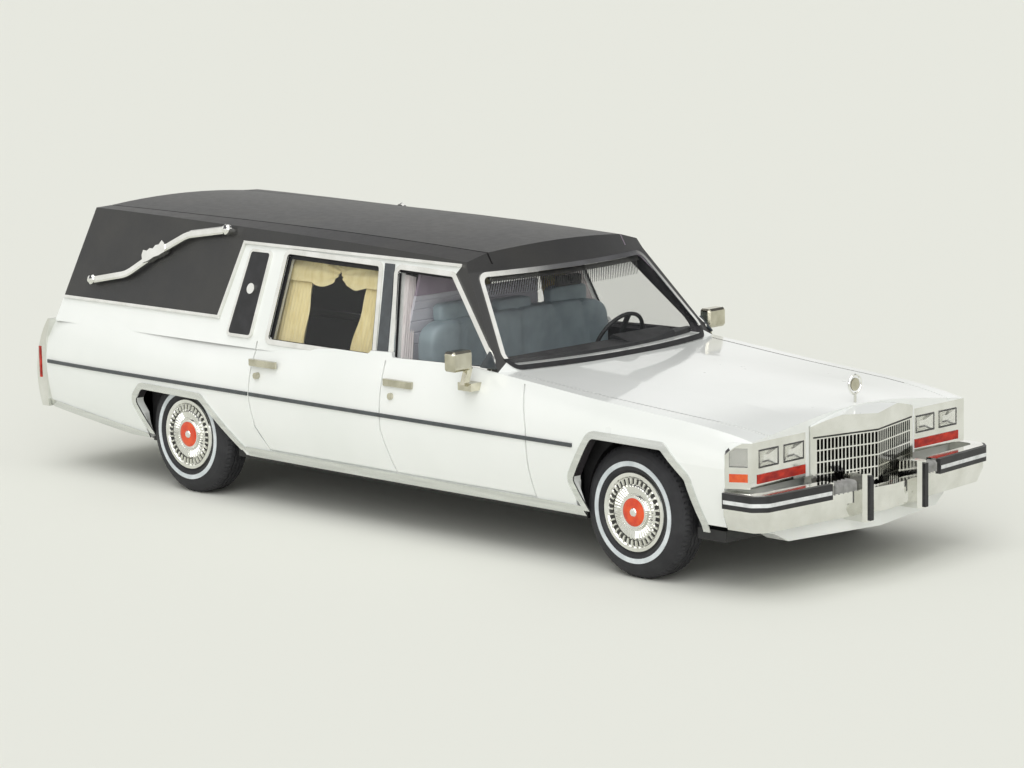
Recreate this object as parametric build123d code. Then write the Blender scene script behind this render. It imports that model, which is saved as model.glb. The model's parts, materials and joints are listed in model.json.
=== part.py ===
from build123d import *
from math import sqrt
import os

os.makedirs("parts", exist_ok=True)

# A 1:43 scale model of a hearse: painted body casting on a black chassis, with
# bright trim, clear windows, a furnished cabin and two wheel axles that turn.
# Millimetres. +X is the nose, +Y the car's left, +Z up. The origin is the
# middle of the model's footprint, on the floor.

# Driving dimensions
WHEELBASE = 85.4
FRONT_OVERHANG = 24.8      # front axle to the face of the overriders
REAR_OVERHANG = 34.0       # rear axle to the face of the rear rub strip
HALF_WIDTH = 22.5          # middle plane to the widest line of the doors
SILL_Z = 6.9               # lower edge of the body sides
WIDEST_Z = 15.9            # height of the crease along the body sides
BELT_Z = 22.7              # height of the window sills
GUTTER_Z = 36.2            # roof gutter above the windscreen
ROOF_RISE = 2.1            # how much higher the gutter is at the tail
WALL = 1.2                 # wall of the body and roof castings
TYRE_RADIUS = 8.4
TYRE_WIDTH = 5.0
WHEEL_INSET = 1.65         # the tyre's face is this far inside the widest line
AXLE_RADIUS = 0.8
AXLE_CLEARANCE = 0.05      # radial play of an axle in the chassis

# Stations along the car
FRONT_X = (REAR_OVERHANG + WHEELBASE + FRONT_OVERHANG) / 2 - FRONT_OVERHANG
REAR_X = FRONT_X - WHEELBASE
NOSE_X = FRONT_X + 18.8        # front face of the body casting
TAIL_X = REAR_X - 31.2         # rear face of the body casting
COWL_X = FRONT_X - 20.0        # foot of the windscreen on the middle plane
DOOR_FRONT_X = FRONT_X - 16.6
DOOR_SPLIT_X = FRONT_X - 43.5
DOOR_REAR_X = REAR_X + 15.4
PARTITION_X = DOOR_SPLIT_X + 0.5
WHEEL_FACE_Y = HALF_WIDTH - WHEEL_INSET

# Cross-sections of the body
SILL_IN = 1.9              # the sill is this far inside the widest line
SHOULDER_IN = 1.9          # and the shoulder this far
SIDE_BULGE = 0.45          # how far the side arcs bow out of their chords
HOOD_CREASE_Y = HALF_WIDTH - 12.3

# Leaning side of the cabin
LEAN = 0.336               # the side leans in this much for each mm it rises
LEAN_Y = HALF_WIDTH - 2.1  # its distance from the middle plane at LEAN_Z
LEAN_Z = BELT_Z + 0.7
LEAN_SCALE = sqrt(1 + LEAN ** 2)
ROOF_PANEL_Y = LEAN_Y - 7.8    # edge of the raised middle of the roof
ROOF_CROWN = 0.65

# Windscreen
SCREEN_RAKE = 0.886        # it leans back this much for each mm it rises
SCREEN_BOW = 62.7          # radius of its bow in plan
SCREEN_TOP_Z = GUTTER_Z - 1.3
HEADER_RAKE = 0.62

# Play and trim
SEAT_GAP = 0.05            # round a piece that drops into an opening
TRIM_PROUD = 0.2           # how far bright strips stand off the paint
BEAD_PROUD = 0.35
LINE_WIDTH = 0.24          # engraved panel lines
LINE_DEPTH = 0.3

FAR = 40.0                 # beyond either side of the car
HIGH = 60.0                # above the car


def side_prism(points, y_low, y_high, corner=0.0):
    """Solid with a side outline of (x, z) points."""
    outline = make_face(Polyline(*points, close=True))
    if corner:
        outline = fillet(outline.vertices(), corner)
    return Pos(0, y_high, 0) * extrude(Plane.XZ * outline, amount=y_high - y_low)


def plan_prism(points, z_low, z_high, corner=0.0):
    """Solid with a plan outline of (x, y) points."""
    outline = make_face(Polyline(*points, close=True))
    if corner:
        outline = fillet(outline.vertices(), corner)
    return Pos(0, 0, z_low) * extrude(outline, amount=z_high - z_low)


def front_prism(points, x_low, x_high, corner=0.0):
    """Solid with a front outline of (y, z) points."""
    outline = make_face(Polyline(*points, close=True))
    if corner:
        outline = fillet(outline.vertices(), corner)
    return Pos(x_low, 0, 0) * extrude(Plane.YZ * outline, amount=x_high - x_low)


def block(x_low, x_high, y_low, y_high, z_low, z_high):
    """Plain box between two corners."""
    size = (x_high - x_low, y_high - y_low, z_high - z_low)
    centre = ((x_high + x_low) / 2, (y_high + y_low) / 2, (z_high + z_low) / 2)
    return Pos(*centre) * Box(*size)


def across(x_low, x_high, half, z_low, z_high):
    """Box that is symmetric about the middle plane."""
    return block(x_low, x_high, -half, half, z_low, z_high)


def both_sides(piece):
    """The piece and its mirror image on the car's other side."""
    return piece + mirror(piece, about=Plane.XZ)


def save(name, piece):
    """Write one sub-part."""
    export_step(Compound(piece.solids()), f"parts/{name}.step")


def ribbon(points, width):
    """Flat outline of the given width along a run of points."""
    half = width / 2
    strip = Sketch()
    for (u0, v0), (u1, v1) in zip(points, points[1:]):
        length = sqrt((u1 - u0) ** 2 + (v1 - v0) ** 2)
        du = half * (u1 - u0) / length
        dv = half * (v1 - v0) / length
        corners = [
            (u0 - du - dv, v0 - dv + du), (u1 + du - dv, v1 + dv + du),
            (u1 + du + dv, v1 + dv - du), (u0 - du + dv, v0 - dv - du),
        ]
        strip += make_face(Polyline(*corners, close=True))
    return strip


# Lower body: stations as (x, half width, shoulder z, hood crease z, middle z)
HULL_STATIONS = [
    (TAIL_X, HALF_WIDTH - 0.9, BELT_Z - 0.2, BELT_Z + 0.2, BELT_Z + 0.3),
    (REAR_X - 8.0, HALF_WIDTH - 0.25, BELT_Z, BELT_Z + 0.3, BELT_Z + 0.5),
    (DOOR_REAR_X + 6.0, HALF_WIDTH, BELT_Z, BELT_Z + 0.3, BELT_Z + 0.6),
    (FRONT_X - 22.0, HALF_WIDTH, BELT_Z + 0.5, BELT_Z + 0.7, BELT_Z + 0.8),
    (FRONT_X - 2.0, HALF_WIDTH - 0.05, BELT_Z - 1.3, BELT_Z - 0.6, BELT_Z - 0.2),
    (FRONT_X + 10.8, HALF_WIDTH - 0.15, BELT_Z - 2.3, BELT_Z - 1.35, BELT_Z - 0.9),
    (NOSE_X, HALF_WIDTH - 0.45, BELT_Z - 3.55, BELT_Z - 2.3, BELT_Z - 1.6),
]


def hull_section(x, half, shoulder_z, crease_z, middle_z, grow, foot_z):
    """One closed cross-section of the lower body."""
    foot = (half - SILL_IN + grow, foot_z)
    widest = (half + grow, WIDEST_Z)
    shoulder = (half - SHOULDER_IN + grow, shoulder_z + grow)
    crease = (HOOD_CREASE_Y, crease_z + grow)
    low_mid = ((foot[0] + widest[0]) / 2 + SIDE_BULGE, (foot[1] + widest[1]) / 2)
    high_mid = ((widest[0] + shoulder[0]) / 2 + SIDE_BULGE, (widest[1] + shoulder[1]) / 2)

    def far(point):
        return (-point[0], point[1])

    edges = [
        Line(far(foot), foot),
        ThreePointArc(foot, low_mid, widest),
        ThreePointArc(widest, high_mid, shoulder),
        Line(shoulder, crease),
        ThreePointArc(crease, (0, middle_z + grow), far(crease)),
        Line(far(crease), far(shoulder)),
        ThreePointArc(far(shoulder), far(high_mid), far(widest)),
        ThreePointArc(far(widest), far(low_mid), far(foot)),
    ]
    return Plane.YZ.offset(x) * make_face(edges)


def hull(grow=0.0, foot_z=SILL_Z):
    """The lower body as a solid, larger by grow all round."""
    return loft([hull_section(*station, grow, foot_z) for station in HULL_STATIONS])


# Cabin: stations as (x, gutter rise, panel edge above the gutter)
ROOF_STATIONS = [
    (FRONT_X - 14.0, -0.95, 1.05),
    (FRONT_X - 30.0, -0.15, 0.95),
    (FRONT_X - 52.0, 0.85, 0.75),
    (REAR_X + 12.0, ROOF_RISE - 0.65, 0.55),
    (REAR_X - 12.0, ROOF_RISE - 0.15, 0.25),
    (REAR_X - 30.0, ROOF_RISE, 0.12),
]


def lean_y(z):
    """Distance of the leaning cabin side from the middle plane."""
    return LEAN_Y - LEAN * (z - LEAN_Z)


def cabin_section(x, rise, step, inset, foot_z):
    """One closed cross-section of the cabin."""
    side_in = inset * LEAN_SCALE
    gutter_z = GUTTER_Z + rise - inset
    foot = (lean_y(foot_z) - side_in, foot_z)
    gutter = (lean_y(gutter_z) - side_in, gutter_z)
    panel = (ROOF_PANEL_Y, gutter_z + step)
    crown = (0, gutter_z + step + ROOF_CROWN)
    edges = [
        Line((-foot[0], foot_z), foot),
        Line(foot, gutter),
        Line(gutter, panel),
        ThreePointArc(panel, crown, (-panel[0], panel[1])),
        Line((-panel[0], panel[1]), (-gutter[0], gutter[1])),
        Line((-gutter[0], gutter[1]), (-foot[0], foot_z)),
    ]
    return Plane.YZ.offset(x) * make_face(edges)


def behind_screen(back):
    """Everything behind the windscreen and header faces, moved back by back."""
    reach = HALF_WIDTH + 7.5
    drop = SCREEN_BOW - sqrt(SCREEN_BOW ** 2 - reach ** 2)
    far_x = REAR_X - 60.0

    def leaning(x_middle, z_low, z_high, rake):
        front = x_middle - back
        arc = ThreePointArc((front - drop, -reach), (front, 0), (front - drop, reach))
        rest = Polyline((front - drop, reach), (far_x, reach), (far_x, -reach), (front - drop, -reach))
        plan = Pos(0, 0, z_low) * make_face([arc, rest])
        return extrude(plan, amount=(z_high - z_low) * sqrt(1 + rake ** 2), dir=(-rake, 0, 1))

    screen_low_z = LEAN_Z - 5.4
    screen_low_x = COWL_X + SCREEN_RAKE * (LEAN_Z - screen_low_z)
    header_x = COWL_X - SCREEN_RAKE * (SCREEN_TOP_Z - LEAN_Z)
    lower = leaning(screen_low_x, screen_low_z, SCREEN_TOP_Z, SCREEN_RAKE)
    upper = leaning(header_x, SCREEN_TOP_Z, SCREEN_TOP_Z + 8.0, HEADER_RAKE)
    return lower + upper


TAILGATE_LEAN = 0.23       # the cabin's rear face leans forward this much per mm
TAILGATE_X = REAR_X - 28.7
TAILGATE_Z = BELT_Z + 3.1  # height at which TAILGATE_X is measured
TAIL_BEND_Z = BELT_Z - 3.3 # above this the rear face of the body rolls forward
TAIL_ROLL = 1.2


def tailgate_face_x(z):
    """Where the cabin's rear face is at a height."""
    return TAILGATE_X + TAILGATE_LEAN * (z - TAILGATE_Z)


def ahead_of_tailgate(inset):
    """Everything ahead of the leaning rear face of the cabin."""
    low_z = BELT_Z - 5.0
    ahead_x = NOSE_X + 20.0
    return side_prism([
        (tailgate_face_x(low_z) + inset, low_z), (ahead_x, low_z),
        (ahead_x, HIGH), (tailgate_face_x(HIGH) + inset, HIGH),
    ], -FAR, FAR)


def behind_tail(inset, low_z):
    """Everything behind the whole rear surface of the car, from low_z up."""
    deck_z = BELT_Z + 0.5
    return side_prism([
        (TAIL_X - 9.0, low_z), (TAIL_X + inset, low_z), (TAIL_X + inset, TAIL_BEND_Z),
        (TAIL_X + TAIL_ROLL + inset, BELT_Z - 0.3), (tailgate_face_x(deck_z) + inset, deck_z),
        (tailgate_face_x(HIGH) + inset, HIGH), (TAIL_X - 9.0, HIGH),
    ], -FAR, FAR)


def cabin(inset=0.0, foot_z=BELT_Z - 0.7):
    """The cabin as a solid, smaller by inset all round."""
    sections = [cabin_section(*station, inset, foot_z) for station in ROOF_STATIONS]
    return loft(sections) & behind_screen(inset * 1.35) & ahead_of_tailgate(inset)


HULL = hull() - behind_tail(0, TAIL_BEND_Z - 1.0)
CABIN = cabin()


# Body and roof castings: one hollow shell, open below, split where the colours meet

NOSE_WALL = 5.0
INNER_FOOT_Z = BELT_Z - 2.7
hollow_length = across(TAIL_X + WALL + TAIL_ROLL, NOSE_X - NOSE_WALL, FAR, 0, HIGH)
HOLLOW = (hull(-WALL, SILL_Z - 0.5) & hollow_length) + cabin(WALL, INNER_FOOT_Z)
SHELL = HULL + CABIN - HOLLOW

# Wheel arches as (x from the axle, z), cut through both sides
FRONT_ARCH = [
    (1.6 - TYRE_RADIUS, 0.0), (1.5 - TYRE_RADIUS, TYRE_RADIUS - 1.3), (-TYRE_RADIUS - 0.5, TYRE_RADIUS + 3.2),
    (3.0 - TYRE_RADIUS, TYRE_RADIUS * 2 + 0.4), (TYRE_RADIUS - 2.3, TYRE_RADIUS * 2 + 0.3),
    (TYRE_RADIUS + 1.5, TYRE_RADIUS + 5.5), (TYRE_RADIUS + 3.2, TYRE_RADIUS + 0.1), (TYRE_RADIUS + 3.2, 0.0),
]
REAR_ARCH = [
    (1.4 - TYRE_RADIUS, 0.0), (1.0 - TYRE_RADIUS, TYRE_RADIUS - 0.6), (-TYRE_RADIUS - 1.6, TYRE_RADIUS + 4.0),
    (0.2 - TYRE_RADIUS, TYRE_RADIUS + 5.8), (TYRE_RADIUS - 3.8, TYRE_RADIUS + 5.6),
    (TYRE_RADIUS + 3.9, TYRE_RADIUS - 1.3), (TYRE_RADIUS + 3.9, 0.0),
]
ARCH_CORNER = 0.9
ARCH_LIP = 0.95
WHEEL_ROOM = 0.8           # round and beside a tyre
ROOM_DEPTH = 8.0


def at_axle(axle_x, arch):
    """An arch outline moved to its axle."""
    return [(axle_x + x, z) for x, z in arch]


# Window openings as (x, z) on the leaning side
REAR_DOOR_GLASS = [
    (DOOR_REAR_X + 2.25, BELT_Z + 0.8), (DOOR_REAR_X + 2.6, GUTTER_Z - 1.4),
    (DOOR_SPLIT_X - 5.5, GUTTER_Z - 1.7), (DOOR_SPLIT_X - 3.3, BELT_Z + 0.7),
]
FRONT_DOOR_GLASS = [
    (DOOR_SPLIT_X + 0.9, BELT_Z + 0.6), (DOOR_SPLIT_X - 1.8, GUTTER_Z - 1.8),
    (FRONT_X - 35.0, GUTTER_Z - 2.0), (FRONT_X - 24.2, BELT_Z + 1.1),
]
SIDE_PLANE = Plane(origin=(0, -LEAN_Y, LEAN_Z), x_dir=(1, 0, 0), z_dir=(0, -1, LEAN))


def on_side_points(points):
    """(x, z) points in the plane of the leaning right side."""
    return [(x, (z - LEAN_Z) * LEAN_SCALE) for x, z in points]


def lift_side(outline, low, high):
    """A flat outline in the side's plane as a plate from low to high above it."""
    return SIDE_PLANE * (Pos(0, 0, low) * extrude(outline, amount=high - low))


def side_outline(points, corner=0.0):
    """Rounded outline in the side's plane for (x, z) points."""
    outline = make_face(Polyline(*on_side_points(points), close=True))
    if corner:
        outline = fillet(outline.vertices(), corner)
    return outline


def frame_on_side(points, width, low, high, corner):
    """A frame of the given width outside the (x, z) points."""
    inner = side_outline(points, corner)
    return lift_side(offset(inner, amount=width, kind=Kind.INTERSECTION) - inner, low, high)


WINDOW_CORNER = 0.5
SCREEN_CORNER = 1.2
SCREEN_LOW = (LEAN_Y - 1.7, BELT_Z + 1.25)
SCREEN_HIGH = (LEAN_Y - 5.4, GUTTER_Z - 1.9)
TAILGATE_GLASS_LOW = (LEAN_Y - 4.9, BELT_Z + 3.9)
TAILGATE_GLASS_HIGH = (LEAN_Y - 7.1, GUTTER_Z - 0.6)


def mirrored(low, high):
    """Front outline of four (y, z) points, symmetric about the middle plane."""
    return [(-low[0], low[1]), (-high[0], high[1]), high, low]


screen_opening = front_prism(mirrored(SCREEN_LOW, SCREEN_HIGH), FRONT_X - 38, FRONT_X - 14, SCREEN_CORNER)
tailgate_outline = mirrored(TAILGATE_GLASS_LOW, TAILGATE_GLASS_HIGH)
tailgate_opening = front_prism(tailgate_outline, REAR_X - 40, REAR_X - 20, SCREEN_CORNER)
SHELL -= screen_opening + tailgate_opening
for glass in (REAR_DOOR_GLASS, FRONT_DOOR_GLASS):
    SHELL -= both_sides(lift_side(side_outline(glass, WINDOW_CORNER), -6, 2))

for axle_x, arch in ((FRONT_X, FRONT_ARCH), (REAR_X, REAR_ARCH)):
    SHELL -= side_prism(at_axle(axle_x, arch), -FAR, FAR, ARCH_CORNER)
    for side in (-1, 1):
        room_y = side * (WHEEL_FACE_Y + WHEEL_ROOM / 2 - ROOM_DEPTH / 2)
        room = Rot(90, 0, 0) * Cylinder(TYRE_RADIUS + WHEEL_ROOM, ROOM_DEPTH)
        SHELL -= Pos(axle_x, room_y, TYRE_RADIUS) * room

# Ends of the sides rise towards the bumpers
QUARTER_X = REAR_X - TYRE_RADIUS - 0.2     # the rear quarters' lower edge rises from here
QUARTER_RISE = 0.121                       # by this much per mm
QUARTER_STRIP_HIGH = 1.1
NOSE_FOOT_Z = 8.6


def quarter_z(x):
    """Height of the rear quarters' lower edge."""
    return SILL_Z - 0.5 + QUARTER_RISE * (QUARTER_X - x)


SHELL -= side_prism([(QUARTER_X, quarter_z(QUARTER_X)), (TAIL_X - 5, quarter_z(TAIL_X - 5)),
                     (TAIL_X - 5, 0), (QUARTER_X, 0)], -FAR, FAR)
SHELL -= across(FRONT_X + 9, NOSE_X + 5, FAR, 0, NOSE_FOOT_Z)

# The sides end behind the front bumper, and the nose takes the lamps and the grille
FENDER_END_X = FRONT_X + 15.9
LAMP_LOW_Z = 13.6
LAMP_HIGH_Z = 19.05
LAMP_BACK_X = FENDER_END_X + 0.2
GRILLE_HALF = 9.8
LAMP_INNER_Y = GRILLE_HALF + 0.7
GRILLE_SEAT_X = NOSE_X - 0.8
GRILLE_SEAT_TOP_Z = BELT_Z - 3.0
SHELL -= across(FENDER_END_X, NOSE_X + 5, FAR, 0, LAMP_LOW_Z)
SHELL -= both_sides(block(LAMP_BACK_X, NOSE_X + 5, -FAR, -LAMP_INNER_Y, 0, LAMP_HIGH_Z))
SHELL -= across(GRILLE_SEAT_X, NOSE_X + 5, GRILLE_HALF + SEAT_GAP, 0, GRILLE_SEAT_TOP_Z)

# Engraved panel lines, as runs of (x, z) points on the sides and (x, y) points on the hood
DOOR_FOOT_Z = SILL_Z + 1.45
DOOR_LINES = [
    [(DOOR_REAR_X, BELT_Z + 0.2), (DOOR_REAR_X, WIDEST_Z - 0.9), (DOOR_REAR_X + 0.6, SILL_Z + 4.6),
     (DOOR_REAR_X + 2.8, DOOR_FOOT_Z)],
    [(DOOR_SPLIT_X, BELT_Z + 0.2), (DOOR_SPLIT_X, WIDEST_Z - 1.9), (DOOR_SPLIT_X + 1.8, DOOR_FOOT_Z)],
    [(DOOR_FRONT_X - 1.6, BELT_Z - 0.4), (DOOR_FRONT_X - 0.1, WIDEST_Z + 1.1), (DOOR_FRONT_X, SILL_Z + 5.1),
     (DOOR_FRONT_X + 0.4, DOOR_FOOT_Z)],
]
side_lines = ribbon([DOOR_LINES[0][-1], DOOR_LINES[2][-1]], LINE_WIDTH)
for line in DOOR_LINES:
    side_lines += ribbon(line, LINE_WIDTH)
HOOD_LINE = [
    (FRONT_X - 22.0, HALF_WIDTH - 3.6), (FRONT_X + 8.0, HALF_WIDTH - 4.2), (NOSE_X + 1.0, HALF_WIDTH - 5.4),
]
inset_hull = hull(-LINE_DEPTH)
SHELL -= Pos(0, FAR, 0) * extrude(Plane.XZ * side_lines, amount=2 * FAR) - inset_hull
SHELL -= both_sides(Pos(0, 0, WIDEST_Z) * extrude(ribbon(HOOD_LINE, LINE_WIDTH), amount=10)) - inset_hull

ROOF_LINE = [(FRONT_X - 31.2, ROOF_PANEL_Y), (REAR_X - 40.0, ROOF_PANEL_Y)]
roof_cut = Pos(0, 0, GUTTER_Z - 0.5) * extrude(ribbon(ROOF_LINE, LINE_WIDTH), amount=10)
SHELL -= both_sides(roof_cut) - cabin(LINE_DEPTH)

TAILGATE_HALF = HALF_WIDTH - 5.3
TAILGATE_TOP_HALF = TAILGATE_HALF - 2.9
TAILGATE_FOOT_Z = WIDEST_Z - 1.3
TAILGATE_TOP_Z = GUTTER_Z + 0.8
tailgate_run = [
    (-TAILGATE_HALF, TAILGATE_FOOT_Z), (-TAILGATE_HALF, BELT_Z + 2.3), (-TAILGATE_TOP_HALF, TAILGATE_TOP_Z),
    (TAILGATE_TOP_HALF, TAILGATE_TOP_Z), (TAILGATE_HALF, BELT_Z + 2.3), (TAILGATE_HALF, TAILGATE_FOOT_Z),
    (-TAILGATE_HALF, TAILGATE_FOOT_Z),
]
tailgate_cut = Pos(REAR_X - 40, 0, 0) * extrude(Plane.YZ * ribbon(tailgate_run, LINE_WIDTH), amount=15)
SHELL -= tailgate_cut & behind_tail(LINE_DEPTH, TAILGATE_FOOT_Z - 2.0)

# The black roof casting meets the white body along this side outline
LANDAU_LOW_Z = BELT_Z + 3.0
LANDAU_TOP_Z = GUTTER_Z - 0.3
LANDAU_FRONT = [(REAR_X + 6.3, LANDAU_LOW_Z), (REAR_X + 8.5, LANDAU_TOP_Z)]
PILLAR_FOOT_Z = LEAN_Z + 1.0
ROOF_ZONE = side_prism([
    (REAR_X - 45.0, LANDAU_LOW_Z), *LANDAU_FRONT,
    (FRONT_X - 33.6, LANDAU_TOP_Z), (FRONT_X - 22.0, PILLAR_FOOT_Z), (FRONT_X - 8.0, PILLAR_FOOT_Z),
    (FRONT_X - 8.0, HIGH), (REAR_X - 45.0, HIGH),
], -FAR, FAR)
save("roof_shell", SHELL & ROOF_ZONE)
save("body_shell", SHELL - ROOF_ZONE)


# Chassis: a black plate inside the sills, with wheel tubs, axle carriers and two screw posts

CHASSIS_LOW_Z = SILL_Z - 0.7
CHASSIS_THICK = 1.4
CHASSIS_TOP_Z = CHASSIS_LOW_Z + CHASSIS_THICK
CHASSIS_HALF = HALF_WIDTH - SILL_IN - WALL - 0.15
CHASSIS_TAIL_X = TAIL_X + WALL + TAIL_ROLL + 0.1
CHASSIS_NOSE_X = NOSE_X - NOSE_WALL - 0.1
RAMP_X = REAR_X - TYRE_RADIUS + 0.2
RAMP_SLOPE = 0.1267        # the floor behind the rear wheels rises this much per mm
TUB_WALL = 0.7
TUB_INNER_Y = WHEEL_FACE_Y - TYRE_WIDTH - 1.0 - TUB_WALL
TUB_OUTER_Y = HALF_WIDTH - 3.5
TUB_HALF_X = TYRE_RADIUS + WHEEL_ROOM + TUB_WALL
TUB_TOP_Z = TYRE_RADIUS * 2 + WHEEL_ROOM + TUB_WALL
CARRIER_HALF_X = 2.2
CARRIER_TOP_Z = TYRE_RADIUS + 2.0
BORE_RADIUS = AXLE_RADIUS + AXLE_CLEARANCE
SCREW_XS = (FRONT_X - 24.0, REAR_X + 24.0)
SCREW_RADIUS = 1.0
SCREW_DEPTH = 5.0
SCREW_BOSS_RADIUS = 2.6
SCREW_BOSS_TOP_Z = CHASSIS_LOW_Z + SCREW_DEPTH + 1.0


def ramp_z(x):
    """Underside of the floor behind the rear wheels."""
    return CHASSIS_LOW_Z + RAMP_SLOPE * (RAMP_X - x)


chassis = across(RAMP_X, CHASSIS_NOSE_X, CHASSIS_HALF, CHASSIS_LOW_Z, CHASSIS_TOP_Z)
chassis += side_prism([
    (RAMP_X, CHASSIS_LOW_Z), (CHASSIS_TAIL_X, ramp_z(CHASSIS_TAIL_X)),
    (CHASSIS_TAIL_X, ramp_z(CHASSIS_TAIL_X) + CHASSIS_THICK), (RAMP_X, CHASSIS_TOP_Z),
], 0.4 - CHASSIS_HALF, CHASSIS_HALF - 0.4)
body_room = hull(-WALL - SEAT_GAP, CHASSIS_LOW_Z - 1.0)
for axle_x in (FRONT_X, REAR_X):
    tub = block(axle_x - TUB_HALF_X, axle_x + TUB_HALF_X, TUB_INNER_Y, TUB_OUTER_Y, CHASSIS_LOW_Z, TUB_TOP_Z)
    wheel_room = Pos(axle_x, TUB_INNER_Y + TUB_WALL + 5, TYRE_RADIUS) * Rot(90, 0, 0) \
        * Cylinder(TYRE_RADIUS + WHEEL_ROOM, 10)
    way_out = block(axle_x - TYRE_RADIUS - WHEEL_ROOM, axle_x + TYRE_RADIUS + WHEEL_ROOM,
                    TUB_INNER_Y + TUB_WALL, FAR, 0, TYRE_RADIUS)
    carrier = across(axle_x - CARRIER_HALF_X, axle_x + CARRIER_HALF_X, TUB_INNER_Y + TUB_WALL,
                     CHASSIS_LOW_Z, CARRIER_TOP_Z)
    bore = Pos(axle_x, 0, TYRE_RADIUS) * Rot(90, 0, 0) * Cylinder(BORE_RADIUS, 60)
    chassis += (both_sides(tub) & body_room) + carrier
    chassis -= both_sides(wheel_room + way_out) + bore
for screw_x in SCREW_XS:
    boss_high = SCREW_BOSS_TOP_Z - CHASSIS_LOW_Z
    chassis += Pos(screw_x, 0, CHASSIS_LOW_Z + boss_high / 2) * Cylinder(SCREW_BOSS_RADIUS, boss_high)
    chassis -= Pos(screw_x, 0, CHASSIS_LOW_Z + SCREW_DEPTH / 2) * Cylinder(SCREW_RADIUS, SCREW_DEPTH)

# Relief moulded on the underside: frame rails, sump, exhaust with its silencer, fuel tank
RAIL_Y = 9.0
RAIL_HALF = 0.6
RELIEF = 0.55
EXHAUST_Y = -5.6
EXHAUST_RADIUS = 0.7
rail_x = (REAR_X + TUB_HALF_X, FRONT_X - TUB_HALF_X)
relief_z = (CHASSIS_LOW_Z - RELIEF, CHASSIS_LOW_Z)
chassis += both_sides(block(*rail_x, RAIL_Y - RAIL_HALF, RAIL_Y + RAIL_HALF, *relief_z))
chassis += across(FRONT_X + 3.2, FRONT_X + 11.0, 3.6, *relief_z)
exhaust_long = rail_x[1] - rail_x[0] - 6.0
exhaust_x = (rail_x[0] + rail_x[1]) / 2
chassis += Pos(exhaust_x, EXHAUST_Y, CHASSIS_LOW_Z) * Rot(0, 90, 0) * Cylinder(EXHAUST_RADIUS, exhaust_long)
silencer = block(exhaust_x - 8.0, exhaust_x + 6.0, EXHAUST_Y - 1.7, EXHAUST_Y + 1.7,
                 CHASSIS_LOW_Z - 0.9, CHASSIS_LOW_Z + 0.9)
chassis += fillet(silencer.edges().filter_by(Axis.X), 0.6)
tank_x = (REAR_X - TUB_HALF_X - 12.0, REAR_X - TUB_HALF_X - 2.0)
chassis += side_prism([
    (tank_x[0], ramp_z(tank_x[0]) - 0.8), (tank_x[1], ramp_z(tank_x[1]) - 0.8),
    (tank_x[1], ramp_z(tank_x[1]) + 0.5), (tank_x[0], ramp_z(tank_x[0]) + 0.5),
], -9.5, 9.5)
save("chassis", chassis)


# Wheels: tyre with a whitewall ring, bright wheel with a domed cover, orange centre disc

RIM_RADIUS = TYRE_RADIUS - 3.3
COVER_RADIUS = RIM_RADIUS - 0.2
WHITEWALL_OUTER = RIM_RADIUS + 1.26
WHITEWALL_INNER = WHITEWALL_OUTER - 0.61
WHITEWALL_DEPTH = 0.25
WHITEWALL_PROUD = 0.06
HUB_DISC_RADIUS = 1.77
SHOULDER = 1.1
STUB_RADIUS = AXLE_RADIUS + 1.0
AXLE_SEAT = 1.6            # the axle ends this far inside the wheel's face


def turned(points):
    """Solid of revolution about the wheel's axis for (radius, distance from the outer face) points."""
    outline = make_face(Polyline(*[(r, -d) for r, d in points], close=True))
    return revolve(outline, axis=Axis.Y)


def tyre():
    """Tyre with rounded shoulders and a shallow seat for its white ring."""
    rubber = turned([
        (RIM_RADIUS, 0.45), (RIM_RADIUS + 0.35, 0.1), (WHITEWALL_INNER, 0.0), (WHITEWALL_OUTER, 0.0),
        (TYRE_RADIUS - SHOULDER, 0.25), (TYRE_RADIUS - 0.25, 0.85), (TYRE_RADIUS, 1.25),
        (TYRE_RADIUS, TYRE_WIDTH - 1.25), (TYRE_RADIUS - 0.25, TYRE_WIDTH - 0.85),
        (TYRE_RADIUS - SHOULDER, TYRE_WIDTH - 0.25), (WHITEWALL_OUTER, TYRE_WIDTH),
        (RIM_RADIUS + 0.35, TYRE_WIDTH - 0.1), (RIM_RADIUS, TYRE_WIDTH - 0.45),
    ])
    return rubber - white_ring(1.0)


def white_ring(proud):
    """Flat ring in the tyre's wall that stands proud of it."""
    return turned([
        (WHITEWALL_INNER, -proud), (WHITEWALL_OUTER, -proud),
        (WHITEWALL_OUTER, WHITEWALL_DEPTH), (WHITEWALL_INNER, WHITEWALL_DEPTH),
    ])


def wheel():
    """Wheel with its domed cover in front, a stub behind and a blind bore for the axle."""
    disc = turned([
        (0, 0.35), (HUB_DISC_RADIUS, 0.35), (HUB_DISC_RADIUS, 0.15), (HUB_DISC_RADIUS + 0.25, 0.1),
        (HUB_DISC_RADIUS + 0.35, 0.45), (COVER_RADIUS - 1.6, 0.2), (COVER_RADIUS - 1.4, 0.32),
        (COVER_RADIUS - 0.6, 0.3), (COVER_RADIUS - 0.45, 0.12), (COVER_RADIUS, 0.12),
        (RIM_RADIUS, 0.45), (RIM_RADIUS, TYRE_WIDTH - 0.45), (RIM_RADIUS - 0.4, TYRE_WIDTH - 0.3),
        (RIM_RADIUS - 0.7, TYRE_WIDTH - 0.6), (RIM_RADIUS - 0.9, 2.6), (STUB_RADIUS, 2.4),
        (STUB_RADIUS, TYRE_WIDTH), (0, TYRE_WIDTH),
    ])
    return disc - Pos(0, -TYRE_WIDTH, 0) * Rot(90, 0, 0) * Cylinder(AXLE_RADIUS, 2 * (TYRE_WIDTH - AXLE_SEAT))


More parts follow.
